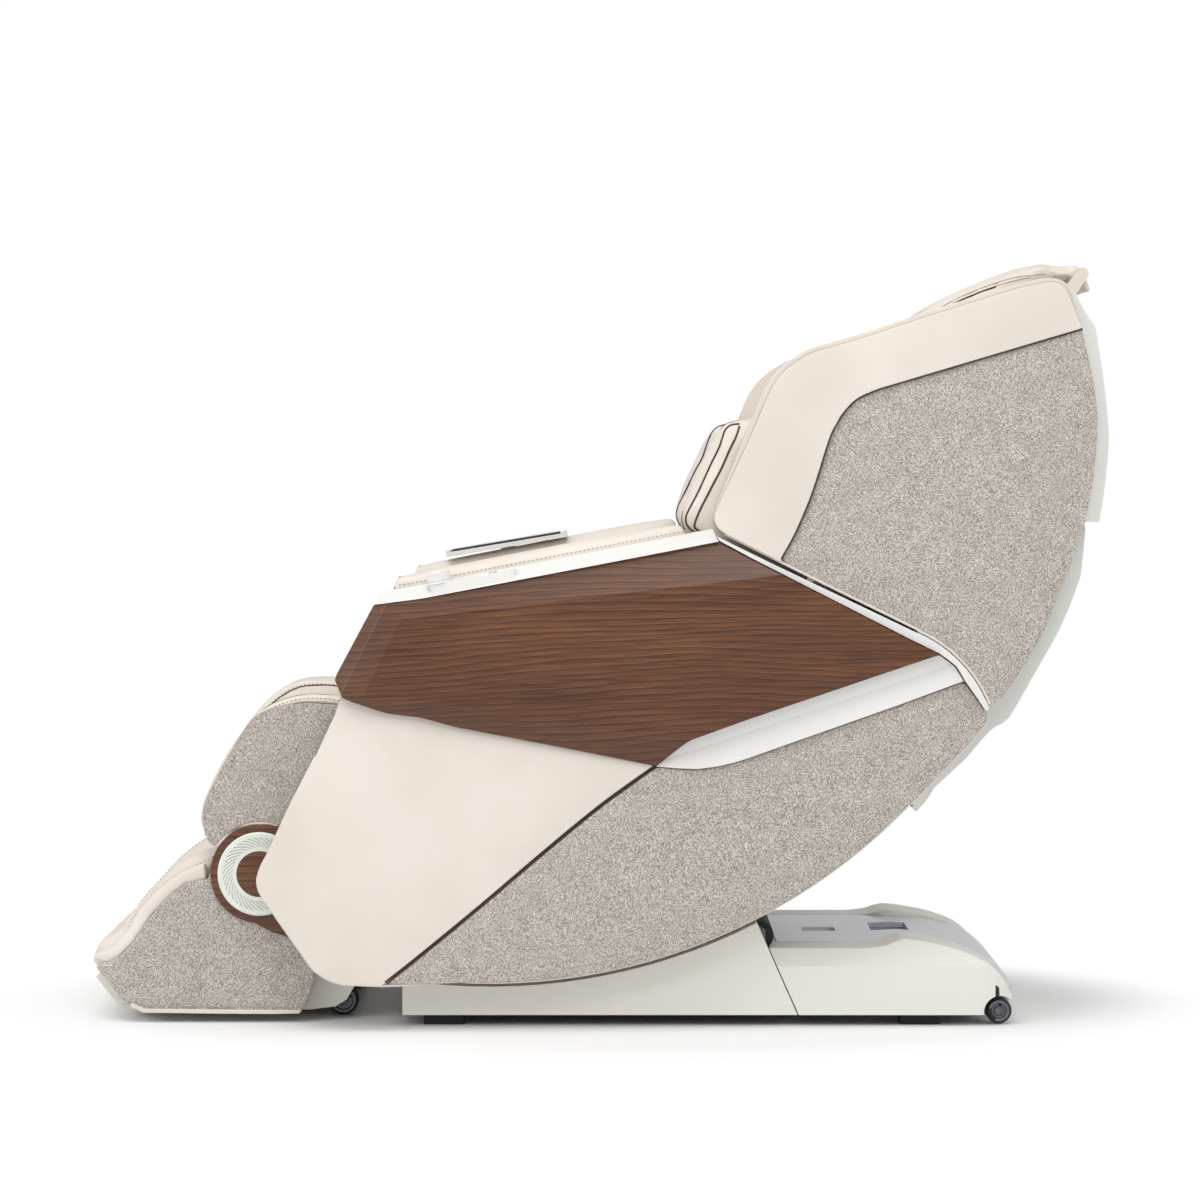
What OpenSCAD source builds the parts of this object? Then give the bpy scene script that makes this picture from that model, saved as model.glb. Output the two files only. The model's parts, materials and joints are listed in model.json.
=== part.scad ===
// Reclining massage chair. The body rocks in a cradle base, the backrest reclines,
// and the leg rest swings up, extends and tilts its foot section.
// The chair faces -Y, +Z is up, +X is the sitter's left. Side outlines are [y, z] points.

/* [Overall] */
// Width over the wood arm panels
chair_w = 750; // [736:1:780]
// Thickness of each arm, from the wood to its inner face
arm_w = 90; // [86:0.5:94]
// How far the base covers stand inside the arms
base_inset = 10; // [8:0.5:16]
// Height of the body's underside above the floor
underside_z = 77; // [74:0.5:80]

/* [Arms] */
// How far the wood panel stands proud of the upholstered arm panels
wood_proud = 23; // [16:1:26]
// Thickness of the upholstered arm panels
panel_t = 14; // [10:1:18]
// Roundness of the upholstered edges
soft_edge = 5; // [3:0.5:6]
// Wall of the moulded wood panel
wood_wall = 8; // [5:0.5:10]
// Width of the padded armrest
arm_pad_w = 45; // [36:1:46]
// Height of the padded armrest
arm_pad_h = 37; // [28:1:42]

/* [Controls] */
// Diameter of the control knob
knob_d = 37; // [30:1:40]
// Height of the control knob
knob_h = 15; // [10:1:20]
// Number of flutes round the knob
knob_flutes = 40; // [24:4:48]
// Shaft diameter of the knob
knob_shaft_d = 8; // [5:0.5:12]
// Diameter of the quick key
key_d = 14; // [10:1:16]
// Travel of the quick key
key_travel = 2; // [1:0.5:3]
// Length of the tablet remote
tablet_l = 204; // [180:2:210]
// Width of the tablet remote
tablet_w = 104; // [90:2:106]
// Thickness of the tablet remote
tablet_t = 8; // [6:0.5:9]

/* [Cradle] */
// Radius of the body's underside about the rocking axis
belly_r = 880; // [876:1:884]
// Thickness of the cradle rails
rail_t = 12; // [8:1:14]
// Width of each cradle rail
rail_w = 28; // [20:1:36]
// Thickness of the belly pan
pan_t = 6; // [4:0.5:8]
// Radius of the front support roller
front_roller_r = 20; // [16:1:21]
// Radius of the rear support roller
rear_roller_r = 25; // [20:1:27]
// Diameter of the roller shafts
roller_shaft_d = 16; // [12:1:20]
// Air gap between the body and the cradle covers
cradle_gap = 16; // [14:1:18]
// Wall of the base covers
cover_wall = 5; // [3:0.5:7]

/* [Wheels] */
// Diameter of the rear transport wheels
wheel_d = 40; // [34:1:42]
// Width of the rear transport wheels
wheel_w = 20; // [16:1:24]
// Diameter of the foot section's casters
caster_d = 47; // [40:1:48]
// Width of the foot section's casters
caster_w = 26; // [20:1:30]
// Diameter of the wheel axles
axle_d = 10; // [8:0.5:12]

/* [Recline] */
// Diameter of the recline pivot pins
recline_pin_d = 28; // [20:1:32]
// Radius of the curved seam about the recline axis
seam_r = 203; // [202:0.5:206]
// Gap along the seam between wing and arm
seam_gap = 3; // [2:0.5:4]
// Thickness of the back shell
shell_t = 9; // [6:0.5:10]

/* [Massage drive] */
// Length of the massage rails
track_l = 500; // [460:10:520]
// Spacing of the massage rails, centre to centre
track_gap = 320; // [300:5:330]
// Radius of the kneading rollers
kneader_r = 28; // [22:1:30]

/* [Leg rest] */
// How far the calf section stands inside the arms
calf_inset = 40; // [36:1:41]
// How far the foot section's cloth stands inside the calf section's
foot_inset = 5; // [4:0.5:6]
// Width of each calf and foot well
well_w = 140; // [120:2:144]
// Diameter of the leg rest pivot pins
leg_pin_d = 24; // [18:1:28]
// Diameter of the foot extension rods
rod_d = 14; // [10:1:16]
// Diameter of the foot hinge pins
foot_pin_d = 20; // [14:1:24]
// Radius of the round hinge cover
cover_r = 76; // [72:1:77]
// Outer radius of the perforated hinge ring
ring_r = 64.5; // [60:0.5:66]
// Radius of the hinge centre disc
disc_r = 35.5; // [30:0.5:38]
// Number of curved slots in the hinge ring
ring_slots = 40; // [24:4:48]

/* [Clearances] */
// Radial clearance of turning and sliding fits
run_fit = 0.05; // [0.03:0.01:0.1]
// Gap between parts that pass each other
clear = 1; // [0.6:0.1:1.4]

/* [Hidden] */
$fn = 48;

cream = [0.91, 0.87, 0.81];
heather = [0.74, 0.71, 0.68];
walnut = [0.36, 0.22, 0.14];
white = [0.94, 0.94, 0.92];
shell_white = [0.86, 0.85, 0.82];
silver = [0.80, 0.81, 0.83];
black = [0.10, 0.10, 0.11];
steel = [0.55, 0.56, 0.58];

// Planes across the width, measured outwards from the chair's middle
x_wood = chair_w / 2;
x_panel = x_wood - wood_proud;
x_core = x_panel - panel_t;
x_in = x_wood - arm_w;
x_wing_out = x_wood - 4;
x_wing_in = x_in + 7;
base_hw = x_in - base_inset;

// Axes of the main movements
rock_c = [-160, belly_r + underside_z];
back_c = [405, 424.5];
leg_c = [-330, 440];
foot_c = [-517, 231];

calf_half_w = x_in - calf_inset;
foot_half_w = calf_half_w - foot_inset;
seat_hw = x_in - 59;
back_hw = x_in - 80;
// Side plates of the seat frame and, inside them, those of the back frame
seat_plate_in = x_in - 17;
seat_plate_out = x_in - 9;
plate_in = x_in - 29;
plate_out = x_in - 21;

rail_in_r = belly_r - rail_t;
pan_in_r = rail_in_r - pan_t;
cradle_r = belly_r + cradle_gap;
rail_x = x_in - 85;
roller_gap = 0.3;

// ---------- helpers ----------

function dir(a) = [cos(a), sin(a)];
function from_down(c, r, a) = c + r * [sin(a), -cos(a)];
function unit(v) = v / norm(v);
function mix(a, b, t) = a + (b - a) * t;

function catmull(a, b, c, d, t) =
    0.5 * (2 * b + (c - a) * t + (2 * a - 5 * b + 4 * c - d) * t * t
           + (3 * b - a - 3 * c + d) * t * t * t);

// A smooth curve through points p, n steps to each gap
function spline(p, n = 4) =
    let (last = len(p) - 1)
    concat([for (i = [0 : last - 1]) for (k = [0 : n - 1])
            catmull(p[max(i - 1, 0)], p[i], p[i + 1], p[min(i + 2, last)], k / n)], [p[last]]);

function arc(c, r, a0, a1, n = 12) = [for (i = [0 : n]) c + r * dir(mix(a0, a1, i / n))];
function belly(a0, a1, r, n = 16) = [for (i = [0 : n]) from_down(rock_c, r, mix(a0, a1, i / n))];
// Angle from straight down at which a circle about the rocking axis reaches y, and its height there
function belly_angle(y, r) = asin((y - rock_c[0]) / r);
function belly_z(y, r) = rock_c[1] - sqrt(pow(r, 2) - pow(y - rock_c[0], 2));
// The arc of the underside's circles between two y on the underside itself
function under(y0, y1, r, n = 16) = belly(belly_angle(y0, belly_r), belly_angle(y1, belly_r), r, n);
// The stretch over the cradle rails, whose pieces share their corner points
function over_rails(r) = under(-290, 405.7, r, 24);
function reverse(p) = [for (i = [len(p) - 1 : -1 : 0]) p[i]];

// Twice the signed area of an outline, positive when it runs anticlockwise
function area2(p) =
    let (n = len(p))
    [for (i = [0 : n - 1]) p[i][0] * p[(i + 1) % n][1] - p[(i + 1) % n][0] * p[i][1]]
    * [for (i = [0 : n - 1]) 1];
function ccw(p) = area2(p) > 0 ? p : reverse(p);
function left_of(v) = [-v[1], v[0]];

// The outline p, which runs anticlockwise, drawn in by d
function drawn_in(p, d) =
    let (n = len(p))
    [for (i = [0 : n - 1])
        let (m = left_of(unit(p[i] - p[(i + n - 1) % n])),
             q = left_of(unit(p[(i + 1) % n] - p[i])))
        p[i] + d * (m + q) / max(1 + m * q, 0.5)];

// The way a path runs at its point i
function heading(p, i) = unit(p[min(i + 1, len(p) - 1)] - p[max(i - 1, 0)]);

// A path moved to its left by d
function shifted(p, d) = [for (i = [0 : len(p) - 1]) p[i] + d * left_of(heading(p, i))];

// A band of thickness t along the left of a path
function band(p, t) = concat(p, reverse(shifted(p, t)));

// Puts a [y, z] outline into the side plane and gives it thickness from x0 to x1
module side(x0, x1) {
    translate([x0, 0, 0]) rotate([90, 0, 90]) linear_extrude(x1 - x0) children();
}

module mirrored() {
    children();
    mirror([1, 0, 0]) children();
}

// A bar along X through the side point p
module bar(p, r, x0, x1) {
    translate([x0, p[0], p[1]]) rotate([0, 90, 0]) cylinder(r = r, h = x1 - x0);
}

// A round bar from side point p to side point q at x
module rod_between(p, q, r, x) {
    a = atan2(q[1] - p[1], q[0] - p[0]);
    translate([x, p[0], p[1]]) rotate([a - 90, 0, 0]) rotate([-180, 0, 0]) mirror([0, 0, 1])
        cylinder(r = r, h = norm(q - p));
}

// Which way a path turns at b, and whether a triangle holds the point q
function turn(a, b, c) = cross(b - a, c - a);
function holds(a, b, c, q) = turn(a, b, q) >= 0 && turn(b, c, q) >= 0 && turn(c, a, q) >= 0;

// Cuts the outline p, as the corners left of it, into triangles, one ear at a time
function ears(p, left) =
    let (n = len(left))
    n == 3 ? [left] :
    let (free = [for (i = [0 : n - 1])
                 let (a = left[(i + n - 1) % n], b = left[i], c = left[(i + 1) % n],
                      held = turn(p[a], p[b], p[c]) <= 0 ? [b]
                          : [for (q = left) if (q != a && q != b && q != c && holds(p[a], p[b], p[c], p[q])) q])
                 if (len(held) == 0) i],
         e = concat(free, [0])[0])
    concat([[left[(e + n - 1) % n], left[e], left[(e + 1) % n]]],
           ears(p, [for (i = [0 : n - 1]) if (i != e) left[i]]));

// A soft-edged slab: rings of the outline at [x, inset] levels, capped at both ends
module soft_slab(outline, levels) {
    p = ccw(outline);
    n = len(p);
    k = len(levels);
    rings = [for (l = levels) for (q = drawn_in(p, l[1])) [l[0], q[0], q[1]]];
    walls = [for (j = [0 : k - 2]) for (i = [0 : n - 1])
             [j * n + i, (j + 1) * n + i, (j + 1) * n + (i + 1) % n, j * n + (i + 1) % n]];
    split = [for (w = walls) each [[w[0], w[1], w[2]], [w[0], w[2], w[3]]]];
    corners = [for (i = [0 : n - 1]) i];
    first_cap = ears(drawn_in(p, levels[0][1]), corners);
    last_cap = [for (t = ears(drawn_in(p, levels[k - 1][1]), corners))
                [for (i = [2 : -1 : 0]) (k - 1) * n + t[i]]];
    polyhedron(rings, concat(first_cap, last_cap, split), convexity = 10);
}

// Levels for a slab from x0 to x1 whose outer edge is rounded by r
function crowned(x0, x1, r) =
    [[x0, 0], [x1 - r, 0], [x1 - 0.45 * r, 0.25 * r], [x1, r]];

// A pad with a rounded crown: path is its back line, h its height along the path's left side,
// channels are [x, half width, depth], and the pad spans x0 to x1
module pad(path, h, x0, x1, back = 12, nx = 14, power = 4, channels = []) {
    m = len(path);
    n = [for (i = [0 : m - 1])
         left_of(unit(path[min(i + 1, m - 1)] - path[max(i - 1, 0)]))];
    function crown(u) = pow(max(0, 1 - pow(abs(2 * u - 1), power)), 1 / power);
    function across(j) = 0.5 - 0.5 * cos(180 * j / nx);
    function dip(x) = len(channels) == 0 ? 0
        : max([for (c = channels) c[2] * max(0, 1 - abs(x - c[0]) / c[1])]);
    top = [for (i = [0 : m - 1]) for (j = [0 : nx])
           let (u = i / (m - 1), x = mix(x0, x1, across(j)),
                t = (h - dip(x)) * crown(across(j)) * (0.35 + 0.65 * crown(u)),
                q = path[i] + n[i] * t)
           [x, q[0], q[1]]];
    base = [for (i = [0 : m - 1]) for (j = [0 : nx])
            let (q = path[i] - n[i] * back) [mix(x0, x1, across(j)), q[0], q[1]]];
    w = nx + 1;
    s = m * w;
    quads = concat(
        [for (i = [0 : m - 2]) for (j = [0 : nx - 1])
         [i * w + j, i * w + j + 1, (i + 1) * w + j + 1, (i + 1) * w + j]],
        [for (i = [0 : m - 2]) for (j = [0 : nx - 1])
         [s + i * w + j, s + (i + 1) * w + j, s + (i + 1) * w + j + 1, s + i * w + j + 1]],
        [for (j = [0 : nx - 1]) [j, s + j, s + j + 1, j + 1]],
        [for (j = [0 : nx - 1]) let (e = (m - 1) * w) [e + j, e + j + 1, s + e + j + 1, s + e + j]],
        [for (i = [0 : m - 2]) [i * w, (i + 1) * w, s + (i + 1) * w, s + i * w]],
        [for (i = [0 : m - 2]) let (e = nx) [i * w + e, s + i * w + e, s + (i + 1) * w + e, (i + 1) * w + e]]);
    tris = [for (q = quads) each [[q[2], q[1], q[0]], [q[3], q[2], q[0]]]];
    polyhedron(concat(top, base), tris, convexity = 8);
}

// Everything outboard of a plane that holds the side line p to q at x and leans out by tilt
module outboard(x, p, q, tilt) {
    a = atan2(q[1] - p[1], q[0] - p[0]);
    translate([x, p[0], p[1]]) rotate([a, 0, 0]) rotate([0, tilt, 0])
        translate([0, -1000, -600]) cube([400, 2500, 1200]);
}

// ---------- base ----------

base_front_y = -296;
base_bottom_z = 17;
parting_foot = [311, base_bottom_z];
parting_top = [247, belly_z(247, cradle_r) + 3.3];
bumper_r = 23;
bumper_c = [252, belly_z(252, cradle_r + bumper_r + 1)];
frame_top_z = 40;
floor_gap = 1.5;
wheel_c = [620, wheel_d / 2 + floor_gap];
wheel_x = base_hw - wheel_w / 2 - 14;
bracket_x = base_hw - 39;
bracket_t = 8;
bumper_hl = bracket_x - bracket_t / 2;
front_roller_c = from_down(rock_c, belly_r + roller_gap + front_roller_r, belly_angle(-236.7, belly_r));
rear_roller_c = from_down(rock_c, belly_r + roller_gap + rear_roller_r, belly_angle(190, belly_r));

module base_frame() {
    color(steel) difference() {
        union() {
            mirrored() {
                translate([bracket_x - 14, base_front_y + 12, base_bottom_z + 1])
                    cube([28, 870, frame_top_z - base_bottom_z - 1]);
                side(bracket_x - bracket_t / 2, bracket_x + bracket_t / 2)
                    polygon([[-275, 30], [-275, 60], front_roller_c + [-16, 13],
                             front_roller_c + [16, 13], [-190, 40], [150, 40],
                             rear_roller_c + [-18, 14], rear_roller_c + [18, 14],
                             bumper_c + [-8, 21.6], bumper_c + [10, 9.6], bumper_c + [10, -16.4],
                             bumper_c + [-2, -44.4], [250, 30]]);
                side(wheel_x - wheel_w / 2 - 7, wheel_x - wheel_w / 2 - 2)
                    polygon([[560, 22], [560, 38], [604, 38], [634, 32], [634, 12], [606, 12]]);
            }
            for (y = [-270, 20, 340, 540])
                translate([cover_wall - base_hw, y, base_bottom_z + 3])
                    cube([2 * (base_hw - cover_wall), 30, 18]);
        }
        for (c = [front_roller_c, rear_roller_c])
            bar(c, roller_shaft_d / 2 + run_fit, -300, 300);
        bar(wheel_c, axle_d / 2 + run_fit, -300, 300);
    }
}

front_cover_outline = concat(
    [[base_front_y, base_bottom_z], parting_foot - [1, 0], parting_top - [1, 0]],
    reverse(belly(belly_angle(base_front_y, cradle_r), belly_angle(parting_top[0] - 1, cradle_r),
                  cradle_r)));
front_hollow = concat(
    [[base_front_y + cover_wall, -20], [parting_foot[0] - 11, -20], bumper_c + [10, -38.4],
     [221, belly_z(221, cradle_r + cover_wall) - 28.5]],
    reverse(belly(belly_angle(base_front_y + cover_wall, cradle_r + cover_wall),
                  belly_angle(221, cradle_r + cover_wall), cradle_r + cover_wall)));

// Slots that let the rollers and their brackets reach up to the rails
slot_x0 = rail_x - rail_w / 2 - 10;
slot_x1 = bracket_x + bracket_t / 2 + 8;
module roller_slots() {
    front_y = front_roller_c[0] - front_roller_r - 16;
    rear_y = rear_roller_c[0] - rear_roller_r - 4;
    shaft_gap = roller_shaft_d / 2 + 6;
    mirrored() {
        translate([slot_x0, front_y, 30]) cube([slot_x1 - slot_x0, 2 * front_roller_r + 32, 200]);
        translate([slot_x0, rear_y, 30]) cube([slot_x1 - slot_x0, 263 - rear_y, 200]);
    }
    // A slot across for each shaft
    for (c = [front_roller_c, rear_roller_c])
        translate([-slot_x0 - 1, c[0] - shaft_gap, 30]) cube([2 * slot_x0 + 2, 2 * shaft_gap, 200]);
}

// Notches where the base frame's long rails pass between the two covers
module rail_notches() {
    mirrored() translate([bracket_x - 15, 250, -30]) cube([30, 100, frame_top_z + 31]);
}

module base_front_cover() {
    color(shell_white) difference() {
        side(-base_hw, base_hw) polygon(front_cover_outline);
        side(cover_wall - base_hw, base_hw - cover_wall) polygon(front_hollow);
        roller_slots();
        rail_notches();
        bar(bumper_c, bumper_r + clear, -bumper_hl - 10, bumper_hl + 10);
    }
}

rear_top = [
    [266, 117], [417, 117], [448, 121], [476, 130], [520, 124], [558, 115], [597, 99],
    [621, 79], [634, 59], [643, 41], [637, 30], [610, base_bottom_z]
];
panel_hw = base_hw - 99;
panel_under = concat([[641, 41]], spline([[630, 62], [596, 88], [540, 106], [476, 111], [417, 110]], 2),
                     [[281, 110]]);

// End view of the rear cover: its shoulders slope down to the sides, walls t thick
module shoulder_section(t) {
    rotate([90, 0, 0]) translate([0, 0, -700]) linear_extrude(500)
        polygon([[t - base_hw, -30], [base_hw - t, -30], [base_hw - t, 92 - t],
                 [base_hw - 34 - t, 131 - 2 * t], [34 + t - base_hw, 131 - 2 * t],
                 [t - base_hw, 92 - t]]);
}

module base_rear_cover() {
    outline = concat([parting_foot + [1, 0]], [[267.5, 117]], spline([for (i = [1 : 8]) rear_top[i]], 2),
                     [for (i = [9 : 11]) rear_top[i]]);
    color(shell_white) difference() {
        intersection() {
            side(-base_hw, base_hw) polygon(outline);
            // Plan view: rounded rear corners
            translate([0, 0, -5]) linear_extrude(200) polygon(concat(
                [[-base_hw, 200], [base_hw, 200]],
                arc([base_hw - 60, 590], 60, 0, 90, 8), arc([60 - base_hw, 590], 60, 90, 180, 8)));
            shoulder_section(0);
        }
        // Hollow underneath
        intersection() {
            side(cover_wall - base_hw, base_hw - cover_wall)
                polygon([parting_foot + [1 + cover_wall, -40], [268 + cover_wall + 4, 104], [417, 104],
                         [476, 105], [538, 100], [590, 83], [620, 58], [624, -23]]);
            shoulder_section(cover_wall);
        }
        // Rebate for the top panel, and the well of the power panel
        intersection() {
            side(-300, 300) polygon(concat(panel_under, [[281, 200], [700, 200], [700, 41]]));
            panel_shape(panel_hw, -10, 200);
        }
        translate([-62, 438, 60]) cube([104, 62, 60]);
        translate([0, 538, 60]) cylinder(r = 5, h = 80);
        // Room for the bumper, the frame and the wheels
        bar(bumper_c, bumper_r + clear, -bumper_hl - 10, bumper_hl + 10);
        rail_notches();
        mirrored() bar(wheel_c, wheel_d / 2 + 4, wheel_x - wheel_w / 2 - 9, base_hw + 10);
        mirrored() translate([wheel_x - wheel_w / 2 - 9, 555, 0]) cube([9, 90, 40]);
    }
}

// Plan outline of the top panel, which waists in at the shoulders
module panel_shape(hw, z0, z1) {
    half = concat([[hw, 280]],
                  spline([[hw, 410], [hw - 12, 440], [hw - 34, 474], [hw - 26, 530],
                          [hw - 10, 600], [hw - 22, 660]], 3));
    translate([0, 0, z0]) linear_extrude(z1 - z0)
        polygon(concat(half, reverse([for (q = half) [-q[0], q[1]]])));
}

module base_top_panel() {
    top = concat([[281, 118], [417, 118]], spline([[476, 121], [540, 116], [600, 98],
                  [636, 70], [650, 44]], 3));
    color(silver) difference() {
        intersection() {
            side(-panel_hw, panel_hw) polygon(concat(top, panel_under));
            panel_shape(panel_hw - clear, 20, 200);
        }
        // Finger recess of the service lid, the power panel's seat and the cord hole
        translate([-12, 330, 112]) cube([52, 52, 20]);
        translate([-61, 439, 80]) cube([102, 60, 60]);
        translate([0, 538, 60]) cylinder(r = 5, h = 80);
    }
}

module base_feet() {
    color(black) for (s = [-1, 1]) {
        translate([s * bracket_x - 20, -264, 0]) cube([40, 61, base_bottom_z + 1]);
        translate([s * bracket_x - 20, 469, 0]) cube([40, 61, base_bottom_z + 1]);
    }
}

module rear_bumper() {
    color(black) bar(bumper_c, bumper_r, -bumper_hl, bumper_hl);
}

// The sunk connector panel in the base's rear: an appliance inlet, a fuse cap, the switch's well
module power_panel() {
    color(black) difference() {
        translate([-61, 439, 84]) cube([102, 60, 26]);
        translate([-50, 449, 96]) cube([28, 40, 20]);
        translate([-12, 451.3, 100]) cube([18.6, 36, 20]);
        translate([26, 469, 101]) cylinder(r = 7, h = 20);
    }
    color(steel) for (i = [-1 : 1]) translate([-38, 463 + i * 8, 96]) cube([5, 3, 9]);
}

switch_c = [469.3, 103];
module power_switch() {
    color(black) translate([-11.4, switch_c[0], switch_c[1]]) rotate([90, 0, 90]) linear_extrude(17.4)
        polygon([[-14, 1], [0, -2], [14, 1], [16, 7], [0, 3.5], [-16, 10.5]]);
}

module wheel(c, x, d, w) {
    color(black) translate([x - w / 2, c[0], c[1]]) rotate([0, 90, 0]) difference() {
        rotate_extrude($fn = 64) polygon([
            [axle_d / 2 + run_fit, 0], [d / 2 - 4, 0], [d / 2, 4], [d / 2, w - 4], [d / 2 - 4, w],
            [d / 2 - 8, w], [d / 2 - 9, w - 3], [axle_d / 2 + 3, w - 3], [axle_d / 2 + 2, w],
            [axle_d / 2 + run_fit, w]]);
        for (a = [0 : 60 : 300]) rotate(a) translate([d / 4 + 1, 0, -1]) cylinder(r = 2.2, h = 5);
    }
}
module rear_wheel_left() {
    wheel(wheel_c, wheel_x, wheel_d, wheel_w);
    color(steel) bar(wheel_c, axle_d / 2, wheel_x - wheel_w / 2 - 8, wheel_x + wheel_w / 2 - 2);
}
module rear_wheel_right() { mirror([1, 0, 0]) rear_wheel_left(); }

module cradle_roller(c, r) {
    color(black) difference() {
        union() {
            for (s = [-1, 1]) bar(c, r, s * rail_x - rail_w / 2 - 4, s * rail_x + rail_w / 2 + 4);
            bar(c, roller_shaft_d / 2 + 3, -rail_x, rail_x);
        }
        bar(c, roller_shaft_d / 2 - 2, -40, 40);
    }
    color(steel) bar(c, roller_shaft_d / 2, rail_x + rail_w / 2 + 4, bracket_x + bracket_t / 2 + 2);
    color(steel) bar(c, roller_shaft_d / 2, -bracket_x - bracket_t / 2 - 2, -rail_x - rail_w / 2 - 4);
}
module front_cradle_roller() { cradle_roller(front_roller_c, front_roller_r); }
module rear_cradle_roller() { cradle_roller(rear_roller_c, rear_roller_r); }

// Gear motor of the rocking drive, beside the rear roller's shaft
module rocking_motor() {
    color(steel) {
        translate([-60, 30, base_bottom_z + 21]) cube([70, 60, 36]);
        translate([10, 60, base_bottom_z + 41]) rotate([0, 90, 0]) cylinder(r = 19, h = 85);
        translate([-70, 45, base_bottom_z + 31]) cube([10, 30, 20]);
    }
}

// ---------- seat body ----------

arm_top = [[-331, 650], [-263, 659], [97, 728], [185, 745]];
wing_line = [[182, 753], [257, 716], [482, 608.5]];
seam_arc = arc(back_c, seam_r - seam_gap, 66, 20, 12);
arm_rear = [[592, 474], [574, 451], [532, 406], [500, 372]];
belly_line = under(456.8, -221.4, belly_r, 22);
arm_nose = [
    [-267, 74], [-324, 72], [-383, 74], [-405, 81], [-427, 96], [-464, 149], [-500, 201],
    [-509, 216], [-512, 232], [-506, 252], [-494, 274], [-464, 339], [-423, 419], [-395, 479],
    [-386, 510], [-378, 552]
];
arm_outline = concat(arm_top, wing_line, seam_arc, arm_rear, belly_line, arm_nose);

wood_outline = concat(
    [[-334, 649], [-331, 650], [-299, 652], [-263, 659], [97, 728], [185, 745], [237, 717],
     [472, 597], [517, 575], [228, 477], [148, 448], [139, 444], [91, 407]],
    [[-25, 430], [-212, 466], [-263, 480], [-313, 486], [-333, 492], [-365, 503], [-381, 510],
     [-386, 521], [-393, 536], [-390, 545]]);
wood_low = [[91, 407], [-25, 430], [-212, 466], [-263, 480], [-313, 486], [-333, 492],
            [-365, 503], [-381, 510]];
piping_line = [[-317, 77], [-264, 119], [-173, 194], [-84, 270], [7, 345], [90, 405]];
trim_low = [[90, 405], [123, 402], [154, 401], [184, 405], [210, 411], [226, 416], [308, 445],
            [458, 498], [539, 528], [556, 534]];
trim_outline = concat([[139, 444], [148, 448], [228, 477], [517, 575], [529, 567], [543, 556],
                       [556, 534]], reverse([for (i = [0 : 8]) trim_low[i]]));

seat_tubes = [[-268, 338], [60, 338], [300, 298]];
cushion_back = 14;

module seat_frame() {
    color(steel) difference() {
        union() {
            mirrored() {
                // Side plates carry both pivots
                side(seat_plate_in, seat_plate_out) difference() {
                    polygon([[-362, 405], [-362, 458], [-342, 470], [-318, 470], [-296, 450],
                             [-240, 396], [-40, 382], [80, 377], [330, 362], [372, 440], [388, 454], [424, 454],
                             [440, 436], [436, 400], [400, 345], [312, 280], [286, 280], [200, 318],
                             [-285, 324]]);
                    for (y = [-200 : 110 : 240]) translate([y, 352]) circle(r = 14);
                }
                bar(leg_c, leg_pin_d / 2, wall_out - 24, seat_plate_out);
                bar(back_c, recline_pin_d / 2, plate_in - 6, seat_plate_out);
                // Arc ribs take the cradle rails through the pan
                side(rail_x - 5, rail_x + 5)
                    polygon(concat(over_rails(pan_in_r), reverse(over_rails(pan_in_r - 12))));
                for (c = seat_tubes) side(rail_x - 5, rail_x + 5)
                    polygon([c + [-8, 0], c + [8, 0],
                             from_down(rock_c, pan_in_r - 6, belly_angle(c[0] + 8, pan_in_r)),
                             from_down(rock_c, pan_in_r - 6, belly_angle(c[0] - 8, pan_in_r))]);
            }
            // Cross tubes, out to the arms' inner faces
            for (c = seat_tubes) bar(c, c[0] < 0 ? 10 : 13, -x_in, x_in);
            // Sheet under the seat cushion
            side(-seat_plate_in, seat_plate_in) polygon(concat(shifted(seat_line, -cushion_back),
                                           reverse(shifted(seat_line, -cushion_back - 4))));
        }
    }
}

module cradle_rails() {
    color(steel) for (s = [-1, 1])
        side(s * rail_x - rail_w / 2, s * rail_x + rail_w / 2)
            polygon(concat(over_rails(belly_r), reverse(over_rails(rail_in_r))));
}

module belly_pan() {
    color(shell_white) side(-x_in + clear, x_in - clear)
        polygon(concat([[-287, 322]], [[-293, 322]],
                       [from_down(rock_c, rail_in_r, belly_angle(-305.2, belly_r)) + [-6, 4]],
                       over_rails(rail_in_r), under(432, 514.1, rail_in_r, 3),
                       reverse(under(432, 514.1, pan_in_r, 3)), reverse(over_rails(pan_in_r))));
}

module arm_cores() {
    color(white) mirrored() side(x_in, x_core) polygon(arm_outline);
}

module arm_front_panels() {
    o = concat([for (q = wood_low) q - [0, clear]], [for (i = [12 : -1 : 1]) arm_nose[i]],
               [for (i = [0 : 4]) piping_line[i] - [clear, 0]]);
    color(cream) mirrored() soft_slab(o, crowned(x_core, x_panel, soft_edge));
}

module arm_side_panels() {
    o = concat([for (i = [0 : 5]) piping_line[i] + [clear, -clear]],
               [for (i = [1 : 9]) trim_low[i] + [0, -clear]],
               [[574.8, 507.6], [587, 489]], arm_rear, [for (i = [1 : 21]) belly_line[i]], [arm_nose[0]]);
    color(heather) mirrored() soft_slab(o, crowned(x_core, x_panel, soft_edge));
}

wood_pocket = [[-384, 522], [-330, 494], [-212, 466], [88, 408], [146, 448], [228, 477], [505, 575],
               [237, 714], [185, 742], [97, 725], [-263, 656], [-336, 646]];
top_crease = [[-343, 622], [282, 695]];
low_crease = [[-333, 514], [139, 444]];

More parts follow.
